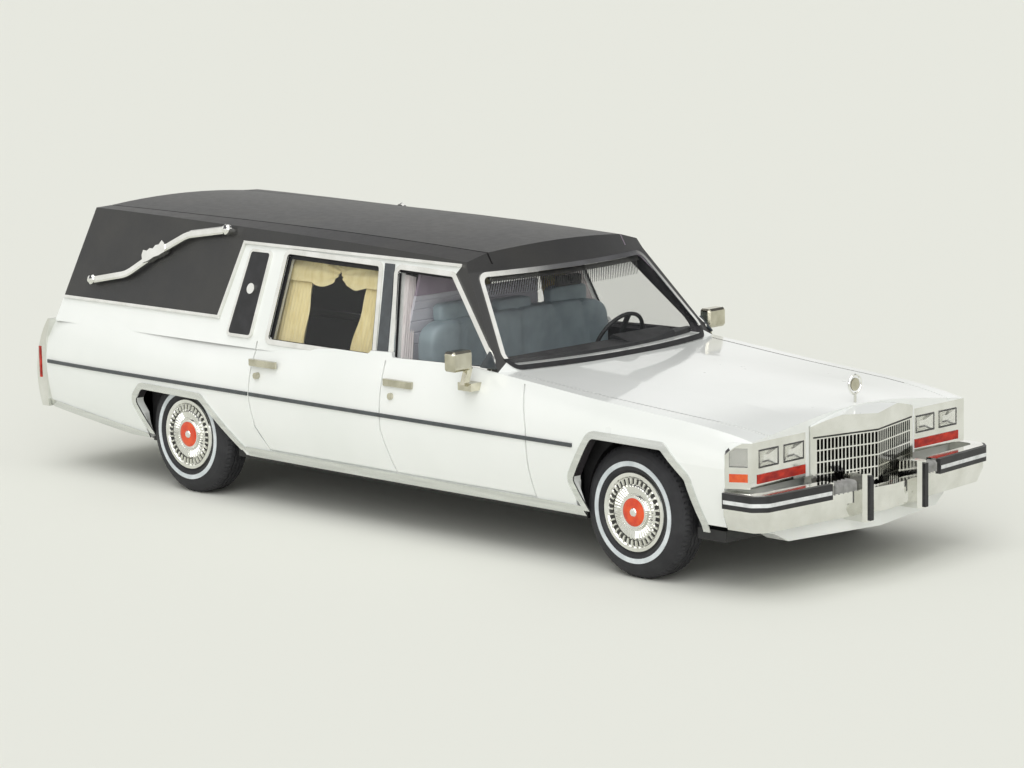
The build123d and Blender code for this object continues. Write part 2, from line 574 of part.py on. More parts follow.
def hub_disc():
    """Enamelled disc in the middle of the cover."""
    return turned([
        (0, 0.05), (HUB_DISC_RADIUS - 0.3, 0.08), (HUB_DISC_RADIUS, 0.2), (HUB_DISC_RADIUS, 0.35), (0, 0.35),
    ])


WHEEL_PIECES = {
    "tyres": tyre(),
    "whitewalls": white_ring(WHITEWALL_PROUD),
    "wheels": wheel(),
    "hub_discs": hub_disc(),
}
for end, axle_x in (("front", FRONT_X), ("rear", REAR_X)):
    for name, piece in WHEEL_PIECES.items():
        save(f"{end}_{name}", both_sides(Pos(axle_x, WHEEL_FACE_Y, TYRE_RADIUS) * piece))
    axle = Rot(90, 0, 0) * Cylinder(AXLE_RADIUS, 2 * (WHEEL_FACE_Y - AXLE_SEAT))
    save(f"{end}_axle", Pos(axle_x, 0, TYRE_RADIUS) * axle)


# Glazing: clear panes that drop into the openings with a little play

GLASS_THICK = 0.7
GLASS_BACK = 0.35          # the side panes lie this far inside the paint
END_GLASS_BACK = 0.25      # and the end panes this far


def dropped_in(outline, corner):
    """The outline of a pane, smaller than its opening by the play."""
    return offset(fillet(outline.vertices(), corner), amount=-SEAT_GAP)


screen_face = dropped_in(make_face(Polyline(*mirrored(SCREEN_LOW, SCREEN_HIGH), close=True)), SCREEN_CORNER)
screen_through = Pos(FRONT_X - 38, 0, 0) * extrude(Plane.YZ * screen_face, amount=24)
screen_slice = behind_screen(END_GLASS_BACK) - behind_screen(END_GLASS_BACK + GLASS_THICK * 1.3)
save("windscreen", screen_through & screen_slice)

tail_face = dropped_in(make_face(Polyline(*tailgate_outline, close=True)), SCREEN_CORNER)
tail_through = Pos(REAR_X - 40, 0, 0) * extrude(Plane.YZ * tail_face, amount=20)
tail_slice = ahead_of_tailgate(END_GLASS_BACK) - ahead_of_tailgate(END_GLASS_BACK + GLASS_THICK)
save("rear_window", tail_through & tail_slice)

side_panes = Part()
for glass in (REAR_DOOR_GLASS, FRONT_DOOR_GLASS):
    pane = lift_side(dropped_in(side_outline(glass), WINDOW_CORNER), -GLASS_BACK - GLASS_THICK, -GLASS_BACK)
    side_panes += both_sides(pane)
save("side_windows", side_panes)

SCREEN_TRIM_WIDTH = 0.55


def end_ring(points, x_low, length):
    """A frame outside the (y, z) points, right through along the car."""
    inner = fillet(make_face(Polyline(*points, close=True)).vertices(), SCREEN_CORNER)
    ring = offset(inner, amount=SCREEN_TRIM_WIDTH, kind=Kind.INTERSECTION) - inner
    return Pos(x_low, 0, 0) * extrude(Plane.YZ * ring, amount=length)


screen_ring = end_ring(mirrored(SCREEN_LOW, SCREEN_HIGH), FRONT_X - 38, 24)
save("windscreen_trim", (screen_ring & (behind_screen(-TRIM_PROUD) - behind_screen(0))) - HULL)
tail_ring = end_ring(tailgate_outline, REAR_X - 40, 20)
save("rear_window_trim", tail_ring & (ahead_of_tailgate(-TRIM_PROUD) - ahead_of_tailgate(0)))


# Bright and dark trim of the cabin sides

DOOR_FRAME_WIDTH = 0.7
frames = Part()
for glass in (REAR_DOOR_GLASS, FRONT_DOOR_GLASS):
    frames += frame_on_side(glass, DOOR_FRAME_WIDTH, 0, TRIM_PROUD, WINDOW_CORNER)
save("window_frames", both_sides(frames - HULL))

B_PILLAR = [
    (DOOR_SPLIT_X - 2.3, BELT_Z + 0.2), (DOOR_SPLIT_X - 4.5, GUTTER_Z - 1.2),
    (DOOR_SPLIT_X - 2.7, GUTTER_Z - 1.2), (DOOR_SPLIT_X - 0.3, BELT_Z + 0.2),
]
save("pillar_strips", both_sides(lift_side(side_outline(B_PILLAR), 0, TRIM_PROUD) - HULL))

QUARTER_TRIANGLE = [
    (FRONT_X - 26.4, BELT_Z + 0.9), (FRONT_X - 25.2, BELT_Z + 3.1), (FRONT_X - 23.4, BELT_Z + 0.9),
]
triangle = lift_side(side_outline(QUARTER_TRIANGLE, 0.15), TRIM_PROUD, TRIM_PROUD + 0.25)
save("quarter_triangles", both_sides(triangle - HULL))

OPERA_PANEL = [
    (DOOR_REAR_X - 6.1, BELT_Z + 0.9), (DOOR_REAR_X - 4.8, GUTTER_Z - 1.6),
    (DOOR_REAR_X - 1.0, GUTTER_Z - 1.6), (DOOR_REAR_X - 1.6, BELT_Z + 0.9),
]
OPERA_CORNER = 0.4
OPERA_FRAME = 0.4
BUTTON_X = DOOR_REAR_X - 3.2
BUTTON_Z = BELT_Z + 7.0
BUTTON_RADIUS = 0.75
BUTTON_THICK = 0.3
save("opera_panels", both_sides(lift_side(side_outline(OPERA_PANEL, OPERA_CORNER), 0, TRIM_PROUD)))
save("opera_frames", both_sides(frame_on_side(OPERA_PANEL, OPERA_FRAME, 0, TRIM_PROUD + 0.1, OPERA_CORNER)))
button_at = Pos(*on_side_points([(BUTTON_X, BUTTON_Z)])[0], TRIM_PROUD + BUTTON_THICK / 2)
save("opera_buttons", both_sides(SIDE_PLANE * button_at * Cylinder(BUTTON_RADIUS, BUTTON_THICK)))

# Bead round the landau panel, running on as the drip rail over the doors
BEAD_WIDTH = 0.4
bead_run = [
    (tailgate_face_x(LANDAU_LOW_Z) + 0.4, LANDAU_LOW_Z - BEAD_WIDTH / 2),
    (LANDAU_FRONT[0][0] + BEAD_WIDTH / 2, LANDAU_LOW_Z - BEAD_WIDTH / 2),
    (LANDAU_FRONT[1][0] + BEAD_WIDTH / 2, LANDAU_TOP_Z - BEAD_WIDTH / 2),
    (FRONT_X - 33.7, LANDAU_TOP_Z - BEAD_WIDTH / 2),
]
bead = lift_side(ribbon(on_side_points(bead_run), BEAD_WIDTH), 0, BEAD_PROUD)
save("roof_beads", both_sides(bead))

# Landau bars: S-shaped, as (x, z) points, with a knuckle and two ball ends on short posts
LANDAU_POINTS = [
    (REAR_X - 22.0, BELT_Z + 5.5), (REAR_X - 14.5, BELT_Z + 6.9), (REAR_X - 9.2, BELT_Z + 10.05),
    (REAR_X - 3.0, BELT_Z + 13.1), (REAR_X + 5.1, BELT_Z + 14.3),
]
LANDAU_BEND = 6.0
LANDAU_HALF_HIGH = 0.55    # the bar is flat with bevelled edges: this high in the side's plane
LANDAU_HALF_THICK = 0.32   # and this thick
LANDAU_BEVEL = 0.2
LANDAU_KNOB_RADIUS = 0.75
LANDAU_LIFT = 0.8
KNUCKLE_TURN = 25.0        # slope of the bar at its middle, in degrees

# Half of the knuckle, as (along the bar, across it): a collar and a leaf that curls up from it
KNUCKLE_LEAF = [
    (-0.2, -0.6), (1.1, -0.75), (2.4, -0.65), (2.4, 0.65), (2.0, 1.25), (1.3, 0.85), (0.6, 1.0), (-0.2, 0.6),
]
KNUCKLE_HALF_THICK = 0.48


def knob():
    """A turned button on a short post, its foot on the side."""
    top = LANDAU_LIFT + LANDAU_KNOB_RADIUS
    rim = LANDAU_KNOB_RADIUS
    outline = make_face(Polyline(
        (0, 0), (rim * 0.6, 0), (rim * 0.6, 0.45), (rim, 0.6), (rim, LANDAU_LIFT + 0.3),
        (rim * 0.7, top - 0.15), (0, top), close=True))
    return revolve(Plane.XZ * outline, axis=Axis.Z)


def landau_bar():
    """One bar on the right side."""
    local = on_side_points(LANDAU_POINTS)
    path = FilletPolyline(*local, radius=LANDAU_BEND)
    flat = chamfer(Rectangle(2 * LANDAU_HALF_THICK, 2 * LANDAU_HALF_HIGH).vertices(), LANDAU_BEVEL)
    profile = Plane(origin=path @ 0, x_dir=(0, 0, 1), z_dir=path % 0) * flat
    bar = Pos(0, 0, LANDAU_LIFT) * sweep(profile, path=path)
    for x, v in (local[0], local[-1]):
        bar += Pos(x, v, 0) * knob()
    middle = Pos(*local[2], LANDAU_LIFT) * Rot(0, 0, KNUCKLE_TURN)
    for step in (-1, 1):
        leaf = make_face(Polyline(*[(step * x, v) for x, v in KNUCKLE_LEAF], close=True))
        bar += middle * Pos(0, 0, -KNUCKLE_HALF_THICK) * extrude(leaf, amount=2 * KNUCKLE_HALF_THICK)
    return SIDE_PLANE * bar


save("landau_bars", both_sides(landau_bar()))


# Trim of the lower sides: thin strips that follow the paint

proud_hull = hull(TRIM_PROUD)


def skin(zone):
    """A thin trim that lies on the body sides within a zone."""
    return (zone & proud_hull) - HULL


def arch_band(axle_x, arch, width):
    """The band of a given width round a wheel arch, right across the car."""
    inner = fillet(make_face(Polyline(*at_axle(axle_x, arch), close=True)).vertices(), ARCH_CORNER)
    outer = offset(inner, amount=width, kind=Kind.INTERSECTION)
    return Pos(0, FAR, 0) * extrude(Plane.XZ * (outer - inner), amount=2 * FAR), \
        Pos(0, FAR, 0) * extrude(Plane.XZ * outer, amount=2 * FAR)


STRIPE_Z = WIDEST_Z + 0.1
STRIPE_HIGH = 0.5
STRIPE_GAP = 0.2           # beside the rear door line
SILL_TRIM_HIGH = 1.3
LIP_FOOT_Z = SILL_Z + 0.7
front_lip, front_gate = arch_band(FRONT_X, FRONT_ARCH, ARCH_LIP)
rear_lip, rear_gate = arch_band(REAR_X, REAR_ARCH, ARCH_LIP)
arches = front_gate + rear_gate

stripe_z = (STRIPE_Z - STRIPE_HIGH / 2, STRIPE_Z + STRIPE_HIGH / 2)
stripes = across(TAIL_X + 0.5, DOOR_REAR_X - STRIPE_GAP, FAR, *stripe_z)
stripes += across(DOOR_REAR_X + STRIPE_GAP, FRONT_X - TYRE_RADIUS - 0.2, FAR, *stripe_z)
save("side_stripes", skin(stripes) - arches)

sills = across(REAR_X + TYRE_RADIUS + 4.5, FRONT_X + 0.8 - TYRE_RADIUS, FAR, SILL_Z, SILL_Z + SILL_TRIM_HIGH)
quarter_end_x = TAIL_X + 0.3
quarters = side_prism([
    (quarter_end_x, quarter_z(quarter_end_x)), (QUARTER_X - 0.2, quarter_z(QUARTER_X - 0.2)),
    (QUARTER_X - 0.2, quarter_z(QUARTER_X - 0.2) + QUARTER_STRIP_HIGH),
    (quarter_end_x, quarter_z(quarter_end_x) + QUARTER_STRIP_HIGH),
], -FAR, FAR)
save("sill_trims", skin(sills + quarters) - arches)
above_sill = block(REAR_X - 20, FRONT_X + 20, -FAR, SHOULDER_IN + 1.0 - HALF_WIDTH, LIP_FOOT_Z, HIGH)
save("arch_trims", skin((front_lip + rear_lip) & both_sides(above_sill)))

HANDLE_Z = WIDEST_Z + 4.5
HANDLE_XS = (DOOR_REAR_X + 2.9, DOOR_SPLIT_X + 3.3)
HANDLE_LONG = 5.4
HANDLE_HALF_HIGH = 0.45
HANDLE_OUT_Y = HALF_WIDTH
LOCK_RADIUS = 0.45
handles = Part()
for handle_x in HANDLE_XS:
    grip = block(handle_x - HANDLE_LONG / 2, handle_x + HANDLE_LONG / 2, -HANDLE_OUT_Y, 0.6 - HANDLE_OUT_Y,
                 HANDLE_Z - HANDLE_HALF_HIGH, HANDLE_Z + HANDLE_HALF_HIGH)
    lock = Rot(90, 0, 0) * Cylinder(LOCK_RADIUS, 0.6)
    lock = Pos(handle_x - 1.2, 0.15 - HANDLE_OUT_Y, HANDLE_Z - 1.75) * lock
    handles += (fillet(grip.edges().filter_by(Axis.Z), 0.2) + lock) - HULL
save("door_handles", both_sides(handles))

MIRROR_X = FRONT_X - 26.5
MIRROR_Y = HALF_WIDTH + 1.7
mirror_foot = block(MIRROR_X - 1.4, MIRROR_X + 1.0, -HALF_WIDTH - 0.7, 2.5 - HALF_WIDTH,
                    BELT_Z - 1.7, BELT_Z - 0.7)
mirror_foot += Pos(MIRROR_X, -HALF_WIDTH - 0.5, BELT_Z + 0.2) * Rot(-20, 0, 0) * Box(0.8, 0.8, 2.6)
mirror_head = block(MIRROR_X - 0.8, MIRROR_X + 0.8, -MIRROR_Y - 1.75, 1.75 - MIRROR_Y,
                    BELT_Z + 1.0, BELT_Z + 3.6)
mirror_head = fillet(mirror_head.edges().filter_by(Axis.X), 0.45)
mirror_head = chamfer(mirror_head.faces().sort_by(Axis.X)[-1].edges(), 0.3)
save("door_mirrors", both_sides(mirror_foot + mirror_head - HULL - CABIN))


# Grille: a pointed egg-crate lattice of thin bars in a bright frame, on a black backing

GRILLE_NOSE_X = FRONT_X + 21.5
GRILLE_SIDE_X = FRONT_X + 19.1
GRILLE_LOW_Z = 10.3
GRILLE_TOP_Z = GRILLE_SEAT_TOP_Z + 1.3     # crest of the header on the middle plane
HEADER_LOW_Z = 18.05
GRILLE_BORDER = 0.75
GRILLE_DEPTH = 0.9
SLOTS_PER_SIDE = 17
SLOT_ROWS = 5
BAR_THICK = 0.17
GRILLE_SLOPE = (GRILLE_NOSE_X - GRILLE_SIDE_X) / GRILLE_HALF


def grille_face_x(y):
    """The lattice's front face at a distance from the middle plane."""
    return GRILLE_NOSE_X - GRILLE_SLOPE * abs(y)


def pointed_plan(back_x, half, behind):
    """Pointed plan outline, behind the front face by behind."""
    return [
        (back_x, -half), (grille_face_x(half) - behind, -half), (grille_face_x(0) - behind, 0),
        (grille_face_x(half) - behind, half), (back_x, half),
    ]


grille = plan_prism(pointed_plan(GRILLE_SEAT_X, GRILLE_HALF, 0), GRILLE_LOW_Z, GRILLE_TOP_Z)
crown_end_z = GRILLE_TOP_Z - 1.4
crown = make_face([
    Polyline((GRILLE_HALF, crown_end_z), (GRILLE_HALF, 0), (-GRILLE_HALF, 0), (-GRILLE_HALF, crown_end_z)),
    ThreePointArc((GRILLE_HALF, crown_end_z), (0, GRILLE_TOP_Z), (-GRILLE_HALF, crown_end_z)),
])
grille &= Pos(GRILLE_SEAT_X - 1, 0, 0) * extrude(Plane.YZ * crown, amount=10)
grille &= side_prism([
    (GRILLE_SEAT_X - 1, 0), (GRILLE_NOSE_X + 1, 0), (GRILLE_NOSE_X + 1, GRILLE_TOP_Z - 1.05),
    (NOSE_X, GRILLE_TOP_Z), (GRILLE_SEAT_X - 1, GRILLE_TOP_Z),
], -FAR, FAR)
under_hood = across(GRILLE_SEAT_X - 1, NOSE_X, FAR, GRILLE_SEAT_TOP_Z - SEAT_GAP, HIGH)
grille -= under_hood
field_half = GRILLE_HALF - GRILLE_BORDER
field_low_z = GRILLE_LOW_Z + 0.5
pocket_half = field_half + 0.1
grille -= plan_prism(pointed_plan(GRILLE_SEAT_X, pocket_half, GRILLE_DEPTH), field_low_z, HEADER_LOW_Z)
slot_pitch = field_half / SLOTS_PER_SIDE
row_pitch = (HEADER_LOW_Z - field_low_z) / SLOT_ROWS
slots = Part()
for column in range(SLOTS_PER_SIDE):
    y = (column + 0.5) * slot_pitch
    for row in range(SLOT_ROWS):
        z = field_low_z + (row + 0.5) * row_pitch
        slot = Box(2.4 * GRILLE_DEPTH, slot_pitch - BAR_THICK, row_pitch - BAR_THICK)
        slots += Pos(grille_face_x(y), y, z) * slot
grille -= both_sides(slots)
save("grille", grille)
save("grille_backing", plan_prism(
    pointed_plan(GRILLE_SEAT_X, pocket_half - SEAT_GAP, GRILLE_DEPTH + SEAT_GAP),
    field_low_z + SEAT_GAP, HEADER_LOW_Z - SEAT_GAP))

# Lamp units: bright housings that turn the corner, with two lamps, a signal bar and side lamps
LAMP_CHAMFER_Y = HALF_WIDTH - 1.9
LAMP_SIDE_Y = HALF_WIDTH - 0.4
LAMP_SIDE_X = LAMP_BACK_X + 0.1
LENS_YS = ((-HALF_WIDTH + 3.43, -HALF_WIDTH + 7.05), (-HALF_WIDTH + 7.95, -LAMP_INNER_Y - 0.3))
LENS_Z = (15.9, 18.1)
SIGNAL_Y = (-HALF_WIDTH + 3.15, -LAMP_INNER_Y - 0.1)
SIGNAL_Z = (14.05, 15.15)
LENS_DEEP = 0.6
LENS_PROUD = 0.1
SIDE_LENS_DEEP = 0.35
CLEAR_SIDE_Z = (16.2, 18.5)
AMBER_SIDE_Z = (14.4, 15.4)

lamp = plan_prism([
    (LAMP_BACK_X, -LAMP_INNER_Y), (NOSE_X, -LAMP_INNER_Y), (NOSE_X, -LAMP_CHAMFER_Y),
    (LAMP_SIDE_X, -LAMP_SIDE_Y), (LAMP_BACK_X, -LAMP_SIDE_Y),
], LAMP_LOW_Z, LAMP_HIGH_Z) & hull(0.3)
lenses = Part()
for lens_y in LENS_YS:
    lenses += block(NOSE_X - LENS_DEEP, NOSE_X + LENS_PROUD, *lens_y, *LENS_Z)
signal = block(NOSE_X - LENS_DEEP, NOSE_X + LENS_PROUD, *SIGNAL_Y, *SIGNAL_Z)


def chamfer_lens(z_low, z_high, inner):
    """A lens let into the slanting corner of the lamp unit."""
    along = (NOSE_X - LAMP_SIDE_X, LAMP_SIDE_Y - LAMP_CHAMFER_Y)
    length = sqrt(along[0] ** 2 + along[1] ** 2)
    out = (along[1] / length, -along[0] / length)

    def corner(share, depth):
        x = LAMP_SIDE_X + share * along[0] - depth * out[0]
        y = -LAMP_SIDE_Y + share * along[1] - depth * out[1]
        return (x, y)

    plan = [
        corner(0.15, -0.05), corner(0.9, -0.05),
        corner(0.9, SIDE_LENS_DEEP), corner(0.15, SIDE_LENS_DEEP),
    ]
    return plan_prism(plan, z_low, z_high) & inner


lens_limit = hull(0.25)
clear_side = chamfer_lens(*CLEAR_SIDE_Z, lens_limit)
amber_side = chamfer_lens(*AMBER_SIDE_Z, lens_limit)
save("lamp_housings", both_sides(lamp - lenses - signal - clear_side - amber_side))
save("headlamp_lenses", both_sides(lenses))
save("signal_lenses", both_sides(signal))
save("side_lamp_lenses", both_sides(clear_side))
save("side_marker_lenses", both_sides(amber_side))


# Front bumper: a shallow prow with corners that turn back to the fenders, as (x from the axle, y)

BUMPER_LOW_Z = 8.6
BUMPER_TOP_Z = LAMP_LOW_Z - 0.3
BUMPER_THICK = 1.5
BUMPER_MIDDLE_TOP_Z = 11.8
BUMPER_REST_Y = GRILLE_HALF + 0.1
BUMPER_TUCK = 0.7          # the face tucks in below this height
BUMPER_TUCK_Z = 10.4
BUMPER_CORNER = 1.0
BUMPER_END_ROUND = 0.3
PROW_X = FRONT_OVERHANG - 0.8
REST_X = PROW_X - 1.4
TURN_X = REST_X - 0.9
TURN_Y = HALF_WIDTH - 1.6
CORNER_X = TURN_X - 1.3
CORNER_Y = HALF_WIDTH - 0.3
END_X = FENDER_END_X - FRONT_X + 0.1
END_Y = HALF_WIDTH - 0.05


def bumper_plan(thick, out=0.0):
    """The bumper's plan outline, with its outer side moved out by out."""
    outer = [
        (PROW_X + out, 0), (REST_X + out, BUMPER_REST_Y + 0.5), (TURN_X + out, TURN_Y + out / 2),
        (CORNER_X + out / 2, CORNER_Y + out), (END_X, END_Y + out),
    ]
    inner = [
        (END_X, END_Y - thick), (CORNER_X - 0.73 * thick, CORNER_Y - 0.8 * thick),
        (TURN_X - thick, TURN_Y - 0.4 * thick), (REST_X - thick, BUMPER_REST_Y + 0.5), (PROW_X - thick, 0),
    ]
    right = [(FRONT_X + x, y) for x, y in outer + inner]
    left = [(x, -y) for x, y in reversed(right[1:-1])]
    outline = make_face(Polyline(*right, *left, close=True))
    near_turn = [v for v in outline.vertices() if abs(v.Y) > TURN_Y - 1.0 and v.X > FRONT_X + END_X + 1]
    outline = fillet(near_turn, BUMPER_CORNER)
    ends = [v for v in outline.vertices() if v.X < FRONT_X + END_X + 0.01]
    return fillet(ends, BUMPER_END_ROUND)


tuck_low = Pos(0, 0, BUMPER_LOW_Z) * bumper_plan(BUMPER_THICK, -BUMPER_TUCK)
tuck_high = Pos(0, 0, BUMPER_TUCK_Z) * bumper_plan(BUMPER_THICK)
bumper = loft([tuck_low, tuck_high], ruled=True)
bumper += Pos(0, 0, BUMPER_TUCK_Z) * extrude(bumper_plan(BUMPER_THICK), amount=BUMPER_TOP_Z - BUMPER_TUCK_Z)
bumper -= across(FRONT_X + 18, FRONT_X + FRONT_OVERHANG + 1, BUMPER_REST_Y, BUMPER_MIDDLE_TOP_Z, HIGH)
PLATE_PLACE_HALF = 2.7
bumper -= across(FRONT_X + PROW_X - 0.8, FRONT_X + FRONT_OVERHANG + 1, PLATE_PLACE_HALF, 9.0, 11.0)

RUB_Z = (11.3, BUMPER_TOP_Z - 0.1)
RUB_PROUD = 0.35
rub = Pos(0, 0, RUB_Z[0]) * extrude(bumper_plan(BUMPER_THICK, RUB_PROUD) - bumper_plan(BUMPER_THICK),
                                    amount=RUB_Z[1] - RUB_Z[0])
rub &= both_sides(block(FRONT_X + END_X + 0.2, FRONT_X + FRONT_OVERHANG + 5, BUMPER_REST_Y + 0.5, FAR, 0, 20))

GUARD_Y = 5.3
GUARD_HALF = 0.75
GUARD_BEVEL = 0.35
GUARD_Z = (8.0, 13.9)
PAD_X = FRONT_X + FRONT_OVERHANG - 0.4
guard_plan = [
    (FRONT_X + 21.0, GUARD_Y - GUARD_HALF), (PAD_X - 0.5, GUARD_Y - GUARD_HALF),
    (PAD_X, GUARD_Y - GUARD_HALF + GUARD_BEVEL), (PAD_X, GUARD_Y + GUARD_HALF - GUARD_BEVEL),
    (PAD_X - 0.5, GUARD_Y + GUARD_HALF), (FRONT_X + 21.0, GUARD_Y + GUARD_HALF),
]
guard = plan_prism(guard_plan, *GUARD_Z)
guard -= side_prism([
    (FRONT_X + 20, GUARD_Z[1] - 0.5), (PAD_X - 1.6, GUARD_Z[1] + 0.01), (FRONT_X + 20, GUARD_Z[1] + 0.01),
], 0, FAR)
save("bumper_guards", both_sides(guard - bumper))
save("guard_pads", both_sides(block(
    PAD_X, FRONT_X + FRONT_OVERHANG, GUARD_Y - 0.33, GUARD_Y + 0.33, GUARD_Z[0] + 0.2, GUARD_Z[1] - 0.25)))
BRACKET_Y = 14.0
bumper += both_sides(block(FENDER_END_X, FRONT_X + 21.5, BRACKET_Y - 1.2, BRACKET_Y + 1.2, 10.0, 12.0))
save("front_bumper", bumper)
save("bumper_strips", rub)

VALANCE_HALF = 16.3
VALANCE_LOW_Z = 6.4
valance = plan_prism([
    (FENDER_END_X, -VALANCE_HALF), (FRONT_X + 18.9, -VALANCE_HALF), (FRONT_X + 21.9, 0),
    (FRONT_X + 18.9, VALANCE_HALF), (FENDER_END_X, VALANCE_HALF),
], VALANCE_LOW_Z, BUMPER_LOW_Z)
valance &= front_prism([
    (2.0 - VALANCE_HALF, VALANCE_LOW_Z), (VALANCE_HALF - 2.0, VALANCE_LOW_Z),
    (VALANCE_HALF, VALANCE_LOW_Z + 1.1), (VALANCE_HALF, BUMPER_LOW_Z),
    (-VALANCE_HALF, BUMPER_LOW_Z), (-VALANCE_HALF, VALANCE_LOW_Z + 1.1),
], FENDER_END_X, FRONT_X + 30)
valance += across(FENDER_END_X, FENDER_END_X + 0.8, 12.0, BUMPER_LOW_Z, BUMPER_LOW_Z + 1.2)
save("front_valance", valance)

ORNAMENT_X = FRONT_X + 17.9
ORNAMENT_Z = BELT_Z + 0.7
ORNAMENT_RADIUS = 1.15
ORNAMENT_WIRE = 0.14
wire = Pos(ORNAMENT_RADIUS, 0, 0) * RegularPolygon(ORNAMENT_WIRE, 6)
ornament = Pos(ORNAMENT_X, 0, ORNAMENT_Z) * Rot(0, 90, 0) * revolve(Plane.XZ * wire, axis=Axis.Z)
ornament += Pos(ORNAMENT_X, 0, ORNAMENT_Z - 1.65) * Cylinder(0.18, 1.2)
save("hood_ornament", ornament - HULL)


# Rear end: tail lamps in tall bowed housings, the bumper between them, plate and handle

BEZEL_Z = (9.2, BELT_Z - 0.4)
BEZEL_OUT = 2.4            # how far the housings stand behind the body
BEZEL_Y = (1.0 - HALF_WIDTH, 3.9 - HALF_WIDTH)
BEZEL_BOW_Z = WIDEST_Z - 0.9
bezel_top_x = TAIL_X + TAIL_ROLL * (BEZEL_Z[1] - TAIL_BEND_Z) / (BELT_Z - 0.3 - TAIL_BEND_Z)
bezel_face = make_face([
    Polyline((TAIL_X - 1.5, BEZEL_Z[0]), (TAIL_X, BEZEL_Z[0]), (TAIL_X, TAIL_BEND_Z),
             (bezel_top_x, BEZEL_Z[1]), (bezel_top_x - 0.5, BEZEL_Z[1])),
    ThreePointArc(
        (bezel_top_x - 0.5, BEZEL_Z[1]), (TAIL_X - BEZEL_OUT, BEZEL_BOW_Z), (TAIL_X - 1.5, BEZEL_Z[0])),
])
bezel = Pos(0, BEZEL_Y[1], 0) * extrude(Plane.XZ * bezel_face, amount=BEZEL_Y[1] - BEZEL_Y[0])
TAIL_LENS_INSET = 0.55
rear_lens = block(TAIL_X - 4, TAIL_X - 1.3, BEZEL_Y[0] + TAIL_LENS_INSET, BEZEL_Y[1] - TAIL_LENS_INSET,
                  BEZEL_Z[0] + 2.2, BEZEL_Z[1] - 2.6) & bezel
side_lens_y = (BEZEL_Y[0] - 0.1, BEZEL_Y[0] + TAIL_LENS_INSET + 0.1)
side_lens = block(TAIL_X - 1.75, TAIL_X - 1.3, *side_lens_y, 13.4, 18.0)
save("tail_bezels", both_sides(bezel - rear_lens - side_lens))
save("tail_lenses", both_sides(rear_lens + side_lens))

REAR_BUMPER_TOP_Z = 13.4
REAR_BUMPER_HALF = -BEZEL_Y[1] - SEAT_GAP
REAR_STRIP_Z = (10.5, 12.2)
REAR_FACE_X = REAR_X - REAR_OVERHANG + 0.3


def rear_plan(out):
    """Plan outline of the rear bumper, its face moved out by out."""
    face_x = REAR_FACE_X - out
    return [
        (TAIL_X, -REAR_BUMPER_HALF), (face_x + 0.5, -REAR_BUMPER_HALF), (face_x, 4.0 - REAR_BUMPER_HALF),
        (face_x, REAR_BUMPER_HALF - 4.0), (face_x + 0.5, REAR_BUMPER_HALF), (TAIL_X, REAR_BUMPER_HALF),
    ]


rear_bumper = plan_prism(rear_plan(0), BUMPER_LOW_Z, REAR_BUMPER_TOP_Z)
rear_bumper -= side_prism([
    (REAR_FACE_X - 1, BUMPER_LOW_Z - 1), (REAR_FACE_X + 1.2, BUMPER_LOW_Z - 0.01),
    (REAR_FACE_X - 0.01, BUMPER_LOW_Z + 1.5), (REAR_FACE_X - 1, BUMPER_LOW_Z + 1.5),
], -FAR, FAR)
save("rear_bumper", rear_bumper)
rear_strip = plan_prism(rear_plan(0.3), *REAR_STRIP_Z) - plan_prism(rear_plan(0), *REAR_STRIP_Z)
strip_zone = across(REAR_FACE_X - 1, REAR_FACE_X + 0.6, REAR_BUMPER_HALF - 0.8, 0, 20)
save("rear_bumper_strips", rear_strip & strip_zone)
PLATE_Z = (15.4, 18.6)
save("rear_plate", across(TAIL_X - 0.4, TAIL_X, 3.6, *PLATE_Z))
save("tailgate_handle", block(TAIL_X - 0.6, TAIL_X, 0.2 - TAILGATE_HALF, 3.6 - TAILGATE_HALF,
                              TAIL_BEND_Z - 1.0, TAIL_BEND_Z - 0.2))


# Inside: floor, load deck, partition, bench seat, dashboard, steering wheel, mirror, curtains

FLOOR_Z = CHASSIS_TOP_Z
FLOOR_THICK = 0.6
DECK_Z = TUB_TOP_Z
DECK_THICK = 0.7
PARTITION_THICK = 0.8
PARTITION_TOP_Z = BELT_Z - 0.2
FLOOR_HALF = HALF_WIDTH - 3.9
posts_room = Pos(SCREW_XS[0], 0, 10) * Cylinder(SCREW_BOSS_RADIUS + SEAT_GAP, 20)
save("cabin_floor", across(PARTITION_X + 0.1, FRONT_X - TUB_HALF_X - 0.2, FLOOR_HALF,
                           FLOOR_Z, FLOOR_Z + FLOOR_THICK) - posts_room)
cabin_room = cabin(WALL + SEAT_GAP, INNER_FOOT_Z) + body_room
deck = across(TAIL_X + WALL + TAIL_ROLL + 0.2, PARTITION_X - PARTITION_THICK, HALF_WIDTH - 2.9,
              DECK_Z, DECK_Z + DECK_THICK)
save("load_deck", deck & cabin_room)
save("partition", across(PARTITION_X - PARTITION_THICK, PARTITION_X, FLOOR_HALF - 0.2,
                         FLOOR_Z, PARTITION_TOP_Z))

